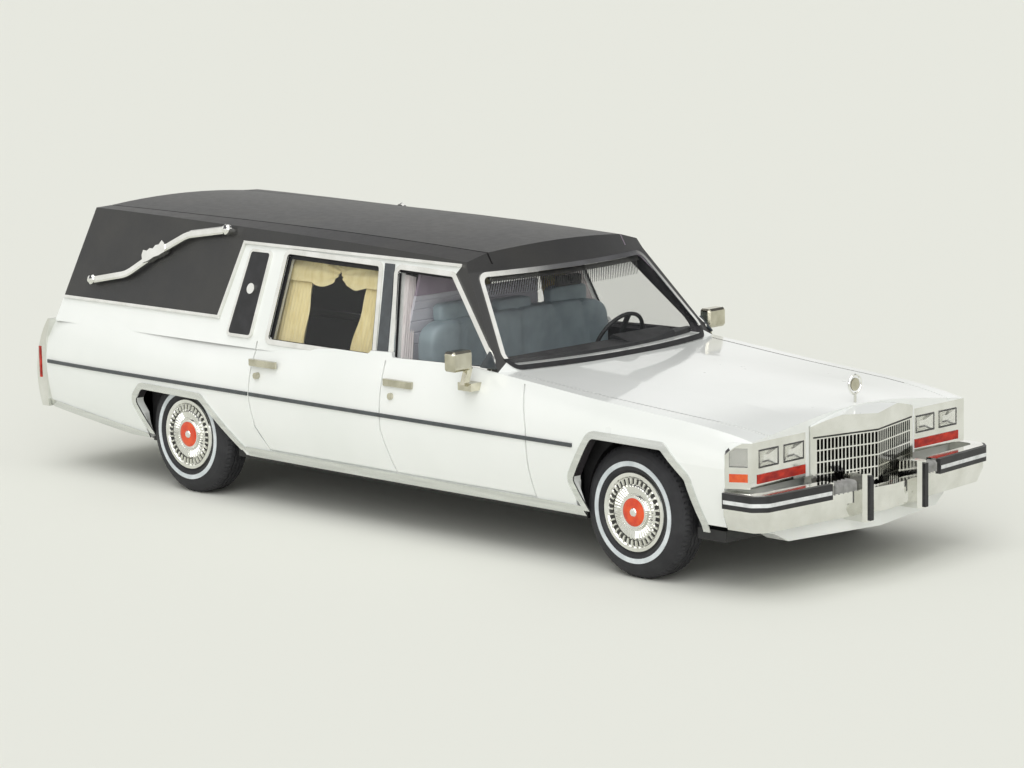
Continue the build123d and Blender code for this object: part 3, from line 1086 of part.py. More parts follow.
SEAT_HALF = HALF_WIDTH - 5.5
SEAT_TOP_Z = BELT_Z + 5.3
CUSHION_Z = BELT_Z - 7.6
CENTRE_HALF = 6.0
seat_x = PARTITION_X + 0.3
seat_floor_z = FLOOR_Z + FLOOR_THICK
seat = side_prism([
    (seat_x, seat_floor_z), (seat_x + 13.5, seat_floor_z), (seat_x + 14.0, CUSHION_Z - 0.5),
    (seat_x + 13.2, CUSHION_Z + 0.5), (seat_x + 4.6, CUSHION_Z - 0.3), (seat_x + 2.2, SEAT_TOP_Z - 0.6),
    (seat_x + 1.2, SEAT_TOP_Z), (seat_x, SEAT_TOP_Z - 0.6),
], -SEAT_HALF, SEAT_HALF, 0.4)
seat -= across(seat_x - 1, seat_x + 4, CENTRE_HALF, SEAT_TOP_Z - 1.1, HIGH)
seat += side_prism([
    (seat_x + 1.0, CUSHION_Z), (seat_x + 5.6, CUSHION_Z), (seat_x + 3.4, SEAT_TOP_Z - 1.1),
    (seat_x + 1.0, SEAT_TOP_Z - 1.1),
], -CENTRE_HALF, CENTRE_HALF)
HEADREST_YS = ((-SEAT_HALF + 3.0, -CENTRE_HALF - 0.8), (-3.2, 3.2), (CENTRE_HALF + 0.8, SEAT_HALF - 3.0))
for y_low, y_high in HEADREST_YS:
    rest_low_z = SEAT_TOP_Z - 1.4 if y_low < 0 < y_high else SEAT_TOP_Z - 0.8
    rest = block(seat_x + 0.3, seat_x + 2.5, y_low, y_high, rest_low_z, rest_low_z + 2.7)
    seat += fillet(rest.edges().filter_by(Axis.Y), 0.5)
seat_room = Pos(SCREW_XS[0], 0, 10) * Cylinder(SCREW_BOSS_RADIUS + 0.3, 5)
save("front_seat", seat - seat_room)

DASH_BACK = 1.75           # the dashboard stops this far behind the windscreen's face
DASH_TOP_Z = BELT_Z + 1.8
BINNACLE_HALF = 5.0        # the hood over the instruments
BINNACLE_RISE = 0.6
STEERING_Y = HALF_WIDTH - 13.7
dashboard = side_prism([
    (FRONT_X - 26.4, BELT_Z - 5.7), (FRONT_X - 27.3, DASH_TOP_Z - 1.1), (FRONT_X - 26.2, DASH_TOP_Z),
    (FRONT_X - 21.0, DASH_TOP_Z - 0.3), (FRONT_X - 18.0, DASH_TOP_Z - 0.9), (FRONT_X - 18.0, BELT_Z - 5.7),
], -FLOOR_HALF, FLOOR_HALF)
dashboard += side_prism([
    (FRONT_X - 27.0, DASH_TOP_Z - 1.4), (FRONT_X - 26.8, DASH_TOP_Z + BINNACLE_RISE - 0.3),
    (FRONT_X - 26.2, DASH_TOP_Z + BINNACLE_RISE), (FRONT_X - 22.5, DASH_TOP_Z - 0.3),
    (FRONT_X - 22.5, DASH_TOP_Z - 1.4),
], STEERING_Y - BINNACLE_HALF, STEERING_Y + BINNACLE_HALF)
dashboard &= behind_screen(DASH_BACK)
dashboard &= cabin(WALL + SEAT_GAP, BELT_Z - 6.0) + hull(-WALL - SEAT_GAP)
save("dashboard", dashboard)

STEERING_RADIUS = 4.2
STEERING_RIM = 0.28
STEERING_TILT = -62.0
rim = Pos(STEERING_RADIUS, 0, 0) * RegularPolygon(STEERING_RIM, 8)
steering = revolve(Plane.XZ * rim, axis=Axis.Z)
steering += Cylinder(0.9, 0.6) + Box(2 * STEERING_RADIUS - 0.2, 0.7, 0.4)
steering += Pos(0, 0, -1.9) * Cylinder(0.45, 3.6)
steering = Pos(FRONT_X - 29.9, STEERING_Y, BELT_Z + 0.7) * Rot(0, STEERING_TILT, 0) * steering
save("steering_wheel", steering - dashboard)

MIRROR_Z = GUTTER_Z - 3.8
glass_inner_x = COWL_X - SCREEN_RAKE * (MIRROR_Z + 0.4 - LEAN_Z) - END_GLASS_BACK - GLASS_THICK * 1.3
cabin_mirror = across(glass_inner_x - 1.4, glass_inner_x - 0.8, 2.2, MIRROR_Z - 0.7, MIRROR_Z + 0.7)
cabin_mirror = fillet(cabin_mirror.edges().filter_by(Axis.X), 0.3)
mirror_stem = across(glass_inner_x - 1.0, glass_inner_x + 2.0, 0.3, MIRROR_Z, MIRROR_Z + 0.6)
cabin_mirror += mirror_stem & behind_screen(END_GLASS_BACK + GLASS_THICK * 1.3)
save("cabin_mirror", cabin_mirror)

# Curtains: two drapes and a scalloped valance behind each rear door window, and a drape at each
# B-pillar
CURTAIN_BACK = 1.65        # behind the paint
CURTAIN_THICK = 0.5
CURTAIN_MIDDLE_X = (REAR_DOOR_GLASS[0][0] + REAR_DOOR_GLASS[3][0]) / 2 - 0.3
CURTAIN_HALF = 11.6
OPENING_HALF = 5.5
VALANCE_Z = GUTTER_Z - 4.6
SCALLOP_DIP = 0.35
OGEE_RISE = 1.8
CURTAIN_Z = (BELT_Z + 0.3, GUTTER_Z - 1.2)


def curtain_opening():
    """The opening between the drapes: straight sides under two scallops that rise to a point."""
    def at(x, z):
        return on_side_points([(CURTAIN_MIDDLE_X + x, z)])[0]
    left = at(-OPENING_HALF, VALANCE_Z)
    right = at(OPENING_HALF, VALANCE_Z)
    tip = at(0, VALANCE_Z + OGEE_RISE)
    left_cusp = at(-1.7, VALANCE_Z + 0.1)
    right_cusp = at(1.7, VALANCE_Z + 0.1)
    below = CURTAIN_Z[0] - 2.0
    return make_face([
        ThreePointArc(left, at(-3.6, VALANCE_Z - SCALLOP_DIP), left_cusp),
        ThreePointArc(left_cusp, at(-0.65, VALANCE_Z + 0.8), tip),
        ThreePointArc(tip, at(0.65, VALANCE_Z + 0.8), right_cusp),
        ThreePointArc(right_cusp, at(3.6, VALANCE_Z - SCALLOP_DIP), right),
        Polyline(right, at(OPENING_HALF, below), at(-OPENING_HALF, below), left),
    ])


curtain_low_x = CURTAIN_MIDDLE_X - CURTAIN_HALF
curtain_high_x = CURTAIN_MIDDLE_X + CURTAIN_HALF
cloth = side_outline([
    (curtain_low_x, CURTAIN_Z[0]), (curtain_low_x, CURTAIN_Z[1]),
    (curtain_high_x, CURTAIN_Z[1]), (curtain_high_x, CURTAIN_Z[0]),
]) - curtain_opening()
curtains = lift_side(cloth, -CURTAIN_BACK - CURTAIN_THICK, -CURTAIN_BACK)
drape_x = (PARTITION_X - 1.6, PARTITION_X + 0.15)
drape_z = (BELT_Z - 2.0, GUTTER_Z - 2.2)
pillar_drape = lift_side(side_outline([
    (drape_x[0], drape_z[0]), (drape_x[0], drape_z[1]), (drape_x[1], drape_z[1]), (drape_x[1], drape_z[0]),
]), -4.0, -1.7)
pillar_drape &= across(drape_x[0] - 1, drape_x[1] + 1, FAR, PARTITION_TOP_Z, HIGH)
save("curtains", both_sides(curtains + pillar_drape))
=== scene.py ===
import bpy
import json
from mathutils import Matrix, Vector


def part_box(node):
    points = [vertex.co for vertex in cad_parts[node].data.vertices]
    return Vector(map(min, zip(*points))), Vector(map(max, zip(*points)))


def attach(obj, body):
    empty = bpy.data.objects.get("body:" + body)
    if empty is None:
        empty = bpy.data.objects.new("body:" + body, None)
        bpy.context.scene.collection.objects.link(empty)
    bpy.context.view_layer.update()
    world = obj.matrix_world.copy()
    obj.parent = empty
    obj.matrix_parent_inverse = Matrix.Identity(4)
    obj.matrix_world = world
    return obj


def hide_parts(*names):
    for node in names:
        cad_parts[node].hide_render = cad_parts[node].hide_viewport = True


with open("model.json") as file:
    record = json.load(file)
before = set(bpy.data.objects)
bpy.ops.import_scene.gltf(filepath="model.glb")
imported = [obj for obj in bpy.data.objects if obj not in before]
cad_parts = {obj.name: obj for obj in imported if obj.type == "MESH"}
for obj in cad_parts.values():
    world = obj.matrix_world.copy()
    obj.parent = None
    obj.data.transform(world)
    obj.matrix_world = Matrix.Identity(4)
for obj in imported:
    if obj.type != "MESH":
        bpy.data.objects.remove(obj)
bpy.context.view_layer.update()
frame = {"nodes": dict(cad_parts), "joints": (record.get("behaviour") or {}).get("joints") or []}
import json
from math import cos, pi, radians, sin, sqrt

import bmesh
import bpy
from mathutils import Matrix, Vector
from mathutils.bvhtree import BVHTree

scene = bpy.context.scene

# The view. The model stands on a table and is photographed from ahead of its
# right front wheel, a little above the bumper, through a long lens. Camera
# and floor are placed in metres; all sizes of pieces are in millimetres.
VIEW_AZIMUTH = radians(45.2)
VIEW_ELEVATION = radians(9.34)
VIEW_DISTANCE = 0.4030
VIEW_AIM = Vector((0.0302, -0.0242, 0.0230))
VIEW_ROLL = -0.020
LENS_MM = 113.9
SENSOR_MM = 36.0

camera_data = bpy.data.cameras.new("camera")
camera_data.lens = LENS_MM
camera_data.sensor_width = SENSOR_MM
camera_data.clip_start = 0.01
camera_data.clip_end = 20.0
camera = bpy.data.objects.new("camera", camera_data)
scene.collection.objects.link(camera)
toward = Vector((
    cos(VIEW_ELEVATION) * sin(VIEW_AZIMUTH),
    -cos(VIEW_ELEVATION) * cos(VIEW_AZIMUTH),
    sin(VIEW_ELEVATION),
))
camera.location = VIEW_AIM + VIEW_DISTANCE * toward
camera_turn = toward.to_track_quat("Z", "Y") @ Matrix.Rotation(VIEW_ROLL, 3, "Z").to_quaternion()
camera.rotation_euler = camera_turn.to_euler()
scene.camera = camera
scene.view_settings.view_transform = "Standard"


# The studio. A pale paper floor under a white sky, lit by one broad lamp
# overhead and one from the front. Metal and glass see a sky with a dark band
# high up, which gives the bright trim its contrast.
BACKGROUND = (232, 233, 225)
SKY_LIGHT = 0.5
SKY_TINT = (1.0, 1.0, 0.985)
# A band has a height, from 0 straight down to 1 straight up, and a colour.
SKY_BANDS = (
    (0.00, (0.60, 0.60, 0.55)),
    (0.47, (0.74, 0.75, 0.68)),
    (0.50, (0.86, 0.87, 0.80)),
    (0.55, (0.70, 0.71, 0.67)),
    (0.60, (1.00, 1.00, 0.97)),
    (0.69, (0.96, 0.96, 0.94)),
    (0.74, (0.10, 0.10, 0.11)),
    (0.86, (0.16, 0.16, 0.17)),
    (0.91, (1.00, 1.00, 0.98)),
)
# A lamp has a name, a strength, and its spread, tilt and turn in degrees.
LAMPS = (
    ("overhead_lamp", 1.05, 50, 18, 20),
    ("front_lamp", 1.15, 50, 62, 38),
)
FLOOR_HALF = 4.0


def srgb(red, green, blue):
    """Linear colour for screen values from 0 to 255."""
    steps = [value / 255 for value in (red, green, blue)]
    return tuple(s / 12.92 if s <= 0.04045 else ((s + 0.055) / 1.055) ** 2.4 for s in steps)


world = bpy.data.worlds.new("studio")
world.use_nodes = True
scene.world = world
sky_nodes, sky_links = world.node_tree.nodes, world.node_tree.links
sky_nodes.clear()
light_path = sky_nodes.new("ShaderNodeLightPath")
direction = sky_nodes.new("ShaderNodeTexCoord")
split = sky_nodes.new("ShaderNodeSeparateXYZ")
height = sky_nodes.new("ShaderNodeMapRange")
height.inputs["From Min"].default_value = -1.0
bands = sky_nodes.new("ShaderNodeValToRGB")
while len(bands.color_ramp.elements) < len(SKY_BANDS):
    bands.color_ramp.elements.new(0.5)
for element, (position, color) in zip(bands.color_ramp.elements, SKY_BANDS):
    element.position = position
    element.color = (*color, 1.0)
sky_links.new(direction.outputs["Generated"], split.inputs["Vector"])
sky_links.new(split.outputs["Z"], height.inputs["Value"])
sky_links.new(height.outputs["Result"], bands.inputs["Fac"])
paper = sky_nodes.new("ShaderNodeBackground")
paper.inputs["Color"].default_value = (*srgb(*BACKGROUND), 1.0)
mirrored_sky = sky_nodes.new("ShaderNodeBackground")
sky_links.new(bands.outputs["Color"], mirrored_sky.inputs["Color"])
diffuse_sky = sky_nodes.new("ShaderNodeBackground")
diffuse_sky.inputs["Color"].default_value = (*SKY_TINT, 1.0)
diffuse_sky.inputs["Strength"].default_value = SKY_LIGHT
glossy_or_not = sky_nodes.new("ShaderNodeMixShader")
seen_or_not = sky_nodes.new("ShaderNodeMixShader")
see_through = sky_nodes.new("ShaderNodeMath")
see_through.operation = "MAXIMUM"
sky_out = sky_nodes.new("ShaderNodeOutputWorld")
sky_links.new(light_path.outputs["Is Glossy Ray"], glossy_or_not.inputs["Fac"])
sky_links.new(diffuse_sky.outputs["Background"], glossy_or_not.inputs[1])
sky_links.new(mirrored_sky.outputs["Background"], glossy_or_not.inputs[2])
sky_links.new(light_path.outputs["Is Camera Ray"], see_through.inputs[0])
sky_links.new(light_path.outputs["Is Transmission Ray"], see_through.inputs[1])
sky_links.new(see_through.outputs["Value"], seen_or_not.inputs["Fac"])
sky_links.new(glossy_or_not.outputs["Shader"], seen_or_not.inputs[1])
sky_links.new(paper.outputs["Background"], seen_or_not.inputs[2])
sky_links.new(seen_or_not.outputs["Shader"], sky_out.inputs["Surface"])

for lamp_name, strength, spread, tilt, turn in LAMPS:
    lamp_data = bpy.data.lights.new(lamp_name, "SUN")
    lamp_data.energy = strength
    lamp_data.angle = radians(spread)
    lamp = bpy.data.objects.new(lamp_name, lamp_data)
    lamp.rotation_euler = (radians(tilt), 0, radians(turn))
    scene.collection.objects.link(lamp)

floor_mesh = bpy.data.meshes.new("floor")
floor_corners = [(x * FLOOR_HALF, y * FLOOR_HALF, 0) for x, y in ((-1, -1), (1, -1), (1, 1), (-1, 1))]
floor_mesh.from_pydata(floor_corners, [], [(0, 1, 2, 3)])
floor = bpy.data.objects.new("floor", floor_mesh)
scene.collection.objects.link(floor)
floor_paper = bpy.data.materials.new("floor_paper")
floor_paper.use_nodes = True
floor_shader = floor_paper.node_tree.nodes["Principled BSDF"]
floor_shader.inputs["Base Color"].default_value = (*srgb(*BACKGROUND), 1.0)
floor_shader.inputs["Roughness"].default_value = 0.95
floor_shader.inputs["Specular IOR Level"].default_value = 0.0
floor_mesh.materials.append(floor_paper)


# The body is a die-cast shell in gloss white. The coat is thick enough to
# soften the engraved door lines and shows a trace of orange peel. Inside, the
# faces that look inwards or down are painted dark grey as painted shade.
MM = 0.001
PAINT_WHITE = srgb(241, 243, 240)
PAINT_SHADE = srgb(234, 237, 233)
PAINTED_SHADE_GREY = srgb(44, 40, 44)
SHADED_ABOVE, SHADED_HALF, SHADED_FRONT = 10.0, 12.0, 58.0
LOOKS_IN, LOOKS_DOWN = -0.3, -0.5


def new_material(name, color, roughness, **sockets):
    """A principled material; further sockets are given by name, with _ for each space."""
    material = bpy.data.materials.new(name)
    material.use_nodes = True
    shader = material.node_tree.nodes["Principled BSDF"]
    shader.inputs["Base Color"].default_value = (*color, 1.0)
    shader.inputs["Roughness"].default_value = roughness
    for socket, value in sockets.items():
        shader.inputs[socket.replace("_", " ")].default_value = value
    return material


def pattern(material, kind, per_mm, stretch=(1, 1, 1), **settings):
    """The grey output of a texture with so many features to a millimetre."""
    nodes, links = material.node_tree.nodes, material.node_tree.links
    coordinates = nodes.new("ShaderNodeTexCoord")
    mapping = nodes.new("ShaderNodeMapping")
    mapping.inputs["Scale"].default_value = stretch
    texture = nodes.new(f"ShaderNodeTex{kind}")
    texture.inputs["Scale"].default_value = per_mm / MM
    for setting, value in settings.items():
        texture.inputs[setting].default_value = value
    links.new(coordinates.outputs["Object"], mapping.inputs["Vector"])
    links.new(mapping.outputs["Vector"], texture.inputs["Vector"])
    return texture.outputs["Distance" if kind == "Voronoi" else "Fac"]


def color_between(material, grey, dark, light, low=0.35, high=0.65):
    """Let the base colour run from dark to light with a grey value."""
    nodes, links = material.node_tree.nodes, material.node_tree.links
    ramp = nodes.new("ShaderNodeValToRGB")
    ramp.color_ramp.elements[0].position = low
    ramp.color_ramp.elements[0].color = (*dark, 1.0)
    ramp.color_ramp.elements[1].position = high
    ramp.color_ramp.elements[1].color = (*light, 1.0)
    links.new(grey, ramp.inputs["Fac"])
    links.new(ramp.outputs["Color"], nodes["Principled BSDF"].inputs["Base Color"])


def roughness_between(material, grey, low, high):
    """Let the roughness run from low to high with a grey value."""
    nodes, links = material.node_tree.nodes, material.node_tree.links
    reach = nodes.new("ShaderNodeMapRange")
    reach.inputs["To Min"].default_value = low
    reach.inputs["To Max"].default_value = high
    links.new(grey, reach.inputs["Value"])
    links.new(reach.outputs["Result"], nodes["Principled BSDF"].inputs["Roughness"])


def bump(material, grey, depth_mm, strength=1.0):
    """Raise the surface by a grey value."""
    nodes, links = material.node_tree.nodes, material.node_tree.links
    relief = nodes.new("ShaderNodeBump")
    relief.inputs["Distance"].default_value = depth_mm * MM
    relief.inputs["Strength"].default_value = strength
    links.new(grey, relief.inputs["Height"])
    links.new(relief.outputs["Normal"], nodes["Principled BSDF"].inputs["Normal"])


def dress(material, *names):
    """Give CAD nodes their finish."""
    for name in names:
        node = frame["nodes"][name]
        node.data.materials.clear()
        node.data.materials.append(material)


def refinish(name, material, wanted):
    """Give another finish to the faces of a dressed CAD node for which wanted is true."""
    mesh = frame["nodes"][name].data
    mesh.materials.append(material)
    for face in mesh.polygons:
        corners = [mesh.vertices[index].co for index in face.vertices]
        if face.material_index == 0 and wanted(face.normal, face.center, corners):
            face.material_index = len(mesh.materials) - 1


def is_shaded_inside(normal, middle, corners):
    """The body's inner faces, which get painted shade: they look inwards or down, and end short of the
    nose.
    """
    outward = 1.0 if middle.y > 0 else -1.0
    faces_in = normal.y * outward < LOOKS_IN and abs(middle.y) > SHADED_HALF * MM
    faces_down = normal.z < LOOKS_DOWN and middle.z > SHADED_ABOVE * MM
    return (faces_in or faces_down) and middle.x < SHADED_FRONT * MM


white_paint = new_material("white_paint", PAINT_WHITE, 0.3, Coat_Weight=0.8, Coat_Roughness=0.04)
color_between(white_paint, pattern(white_paint, "Noise", 0.05, Detail=3.0), PAINT_SHADE, PAINT_WHITE)
roughness_between(white_paint, pattern(white_paint, "Noise", 0.3, Detail=4.0), 0.24, 0.36)
bump(white_paint, pattern(white_paint, "Noise", 1.4, Detail=1.0), 0.004, 0.5)
dress(white_paint, "body_shell", "front_valance", "rear_plate")

# Painted shade: a dark grey on the inner and downward faces stands for the shade inside the shell.
painted_shade_lining = new_material("painted_shade_lining", PAINTED_SHADE_GREY, 0.8)
color_between(painted_shade_lining, pattern(painted_shade_lining, "Noise", 0.4, Detail=5.0), srgb(32, 29, 32), PAINTED_SHADE_GREY)
bump(painted_shade_lining, pattern(painted_shade_lining, "Noise", 4.0, Detail=2.0), 0.02)
refinish("body_shell", painted_shade_lining, is_shaded_inside)


# The roof casting is sprayed in satin black that stands for padded vinyl: a
# fine grain, a little rubbed to grey on the crown. The windscreen pillars of
# the body are sprayed with it. Inside is the lilac-grey headlining.
ROOF_BLACK = srgb(34, 34, 35)
ROOF_RUBBED = srgb(45, 44, 42)
HEADLINING = srgb(176, 162, 176)
PILLAR_BACK, PILLAR_LOW, PILLAR_IN = 12.3, 23.3, 12.5
PILLAR_SLOPE = (0.2, 0.8)


def is_pillar(normal, middle, corners):
    """The outer faces of the windscreen pillars, which slope up and don't look back."""
    past = [c.x > PILLAR_BACK * MM and c.z > PILLAR_LOW * MM and abs(c.y) > PILLAR_IN * MM for c in corners]
    return all(past) and normal.x > LOOKS_IN and PILLAR_SLOPE[0] < normal.z < PILLAR_SLOPE[1]


def is_headlining(normal, middle, corners):
    """The roof's inner faces over the front of the cabin."""
    outward = 1.0 if middle.y > 0 else -1.0
    return middle.x > 0 and (normal.z < LOOKS_IN or normal.y * outward < LOOKS_IN)


black_roof = new_material("black_roof", ROOF_BLACK, 0.45, Specular_IOR_Level=0.75)
color_between(black_roof, pattern(black_roof, "Noise", 0.12, Detail=6.0), ROOF_BLACK, ROOF_RUBBED)
roughness_between(black_roof, pattern(black_roof, "Noise", 0.9, Detail=4.0), 0.38, 0.5)
bump(black_roof, pattern(black_roof, "Voronoi", 5.0), 0.02, 0.5)
dress(black_roof, "roof_shell")
refinish("body_shell", black_roof, is_pillar)
headlining = new_material("headlining", HEADLINING, 0.9)
color_between(headlining, pattern(headlining, "Noise", 0.5, Detail=4.0), srgb(160, 146, 160), HEADLINING)
bump(headlining, pattern(headlining, "Noise", 3.0), 0.02)
refinish("roof_shell", headlining, is_headlining)


# Bright trim is vacuum-plated plastic, mirror smooth with a trace of
# handling, pressed on or let into the paint. Sill and wheel arch mouldings
# are brushed foil; mirrors and handles have a warmer, champagne plate.
PLATED = srgb(238, 238, 234)
PLATED_DULL = srgb(224, 224, 218)
FOIL = srgb(230, 232, 229)
CHAMPAGNE = srgb(212, 208, 190)
# The top of a nose piece, from this slope and height, is painted with the body.
NOSE_CAPS = (("grille", 0.8, 19.4), ("lamp_housings", 0.3, 18.3))
bright_trim = new_material("bright_trim", PLATED, 0.08, Metallic=1.0)
color_between(bright_trim, pattern(bright_trim, "Noise", 0.35, Detail=4.0), PLATED_DULL, PLATED)
roughness_between(bright_trim, pattern(bright_trim, "Noise", 0.8, Detail=6.0), 0.05, 0.16)
bump(bright_trim, pattern(bright_trim, "Noise", 2.2, Detail=2.0), 0.004, 0.4)
dress(bright_trim, "front_bumper", "bumper_guards", "front_wheels", "rear_wheels",
      "grille", "hood_ornament", "lamp_housings", "landau_bars", "opera_buttons", "opera_frames",
      "rear_bumper", "rear_window_trim", "roof_beads", "tail_bezels", "tailgate_handle",
      "window_frames", "windscreen_trim")
foil = new_material("brushed_foil", FOIL, 0.24, Metallic=1.0)
color_between(foil, pattern(foil, "Noise", 1.5, (0.08, 1, 1), Detail=3.0), srgb(214, 216, 213), FOIL)
bump(foil, pattern(foil, "Noise", 6.0, (0.03, 1, 1), Detail=2.0), 0.008, 0.5)
dress(foil, "sill_trims", "arch_trims")
for name, slope, cap_z in NOSE_CAPS:
    refinish(name, white_paint, lambda normal, middle, corners: normal.z > slope and middle.z > cap_z * MM)
champagne = new_material("champagne_plate", CHAMPAGNE, 0.16, Metallic=1.0)
color_between(champagne, pattern(champagne, "Noise", 0.6, Detail=4.0), srgb(186, 182, 164), CHAMPAGNE)
bump(champagne, pattern(champagne, "Noise", 2.0), 0.006, 0.5)
dress(champagne, "door_mirrors", "door_handles")


# Dark trim. The line along the sides, the B-pillar strips and the quarter
# triangles are printed in dark grey; rub strips, pads and opera panels are
# black vinyl.
STRIPE_GREY = srgb(62, 68, 72)
VINYL_BLACK = srgb(40, 40, 43)
grey_trim = new_material("grey_trim", STRIPE_GREY, 0.35, Coat_Weight=0.5, Coat_Roughness=0.1)
color_between(grey_trim, pattern(grey_trim, "Noise", 0.8, Detail=5.0), srgb(50, 55, 59), STRIPE_GREY)
bump(grey_trim, pattern(grey_trim, "Noise", 5.0), 0.006, 0.5)
dress(grey_trim, "side_stripes", "pillar_strips", "quarter_triangles")
black_trim = new_material("black_trim", VINYL_BLACK, 0.42)
color_between(black_trim, pattern(black_trim, "Noise", 0.6, Detail=5.0), srgb(28, 28, 30), VINYL_BLACK)
bump(black_trim, pattern(black_trim, "Voronoi", 6.0), 0.015, 0.6)
dress(black_trim, "opera_panels", "guard_pads", "bumper_strips", "rear_bumper_strips")


# Glazing is thin clear moulding, almost invisible face on, with faint flow
# marks that only its reflection shows.
PANE_TINT = srgb(70, 72, 72)
pane = new_material("clear_pane", PANE_TINT, 0.02, Alpha=0.09, IOR=2.4)
roughness_between(pane, pattern(pane, "Noise", 0.2, Detail=2.0), 0.01, 0.06)
bump(pane, pattern(pane, "Noise", 0.12, Detail=1.0), 0.01, 0.3)
dress(pane, "windscreen", "rear_window", "side_windows")


# The windscreen's shade band is printed on its outside under the header: a
# solid edge, and below it a row of short slanting strokes, each thick at the
# top and running out to a point.
SHADE_TOP, SHADE_HALF = 34.2, 15.2
EDGE_TALL, EDGE_STEPS = 0.6, 56
STROKE_PITCH, STROKE_LONG, STROKE_SLANT = 0.37, 2.1, 1.0
STROKE_TOP_HALF, STROKE_END_HALF = 0.15, 0.05
INK_LIFT = 0.012
AHEAD = 80.0


def add_piece(name, shape, material, body, smooth=False):
    """A new piece from points in millimetres and faces, riding on a body of the frame."""
    points, faces = shape
    mesh = bpy.data.meshes.new(name)
    mesh.from_pydata([Vector(point) * MM for point in points], [], faces)
    sides = bmesh.new()
    sides.from_mesh(mesh)
    bmesh.ops.recalc_face_normals(sides, faces=sides.faces)
    sides.to_mesh(mesh)
    sides.free()
    mesh.materials.append(material)
    if smooth:
        mesh.shade_smooth()
    piece = bpy.data.objects.new(name, mesh)
    scene.collection.objects.link(piece)
    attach(piece, body)
    return piece


def joined(parts):
    """One list of points and one of faces from several."""
    points, faces = [], []
    for part_points, part_faces in parts:
        start = len(points)
        points += part_points
        faces += [tuple(start + corner for corner in face) for face in part_faces]
    return points, faces


def surface_of(name):
    """A search tree over a CAD node's surface, in millimetres."""
    mesh = frame["nodes"][name].data
    points = [vertex.co / MM for vertex in mesh.vertices]
    return BVHTree.FromPolygons(points, [face.vertices[:] for face in mesh.polygons])


def met_from_ahead(surface, y, z):
    """Where a straight line from ahead of the car first meets a surface, or None."""
    return surface.ray_cast(Vector((AHEAD, y, z)), Vector((-1, 0, 0)))[0]


def add_print(patches, *corners):
    """Print a patch on the windscreen between four (y, z) corners, if all lie on the glass."""
    hits = [met_from_ahead(screen_surface, y, z) for y, z in corners]
    if None not in hits:
        lifted = [tuple(hit + Vector((INK_LIFT, 0, INK_LIFT))) for hit in hits]
        patches.append((lifted, [(0, 1, 2, 3)]))


shade_ink = new_material("shade_band_ink", srgb(24, 24, 22), 0.5, Alpha=0.88)
color_between(shade_ink, pattern(shade_ink, "Noise", 2.0), srgb(18, 18, 17), srgb(36, 36, 33))
screen_surface = surface_of("windscreen")
shade_prints = []
stroke_count = int(SHADE_HALF / STROKE_PITCH)
for number in range(-stroke_count, stroke_count + 1):
    top_y = number * STROKE_PITCH
    low_y, low_z = top_y - STROKE_LONG * STROKE_SLANT, SHADE_TOP - STROKE_LONG
    add_print(shade_prints, (top_y - STROKE_TOP_HALF, SHADE_TOP), (top_y + STROKE_TOP_HALF, SHADE_TOP),
              (low_y + STROKE_END_HALF, low_z), (low_y - STROKE_END_HALF, low_z))
for step in range(EDGE_STEPS):
    y_a, y_b = ((2 * at / EDGE_STEPS - 1) * SHADE_HALF for at in (step, step + 1))
    add_print(shade_prints, (y_a, SHADE_TOP), (y_b, SHADE_TOP),
              (y_b, SHADE_TOP - EDGE_TALL), (y_a, SHADE_TOP - EDGE_TALL))
add_piece("shade_band", joined(shade_prints), shade_ink, "body")


# Window gaskets. A matt black rubber lip lines each door window inside its
# bright frame; outlines are (x, z) in the plane of the leaning cabin side.
# The lower edge of the windscreen's trim is of the same rubber.
LEAN, LEAN_Y, LEAN_Z = 0.336, 20.4, 23.4
LEAN_SCALE = sqrt(1 + LEAN ** 2)
REAR_GLASS = [(-20.45, 23.5), (-20.1, 34.8), (-1.7, 34.5), (0.5, 23.4)]
FRONT_GLASS = [(4.7, 23.3), (2.0, 34.4), (12.3, 34.2), (23.1, 23.8)]
GASKETS = ((REAR_GLASS, 0.55), (FRONT_GLASS, 0.22))
GASKET_DEEP, GASKET_SUNK, GASKET_PLAY = 0.3, 0.02, 0.05
SILL_BELOW, SILL_LIP = 30.0, 0.14
SCREEN_SILL_Z = 24.9


def on_side(side, x, z, out=0.0):
    """A point of the leaning cabin side, out millimetres proud of the paint; side -1 is the right."""
    return (x, side * (LEAN_Y - LEAN * (z - LEAN_Z) + out / LEAN_SCALE), z + out * LEAN / LEAN_SCALE)


def drawn_in(outline, amount):
    """The outline moved inwards by amount, corner by corner."""
    result = []
    for k, corner in enumerate(outline):
        here, before = Vector(corner), Vector(outline[k - 1])
        after = Vector(outline[(k + 1) % len(outline)])
        into, away = (here - before).normalized(), (after - here).normalized()
        first, second = Vector((into.y, -into.x)), Vector((away.y, -away.x))
        result.append(tuple(here + (first + second) * (amount / (1 + first.dot(second)))))
    return result


def hoop_faces(hoops, around):
    """Faces between closed rows that have so many points each."""
    return [(r * around + k, r * around + (k + 1) % around,
             (r + 1) * around + (k + 1) % around, (r + 1) * around + k)
            for r in range(hoops - 1) for k in range(around)]


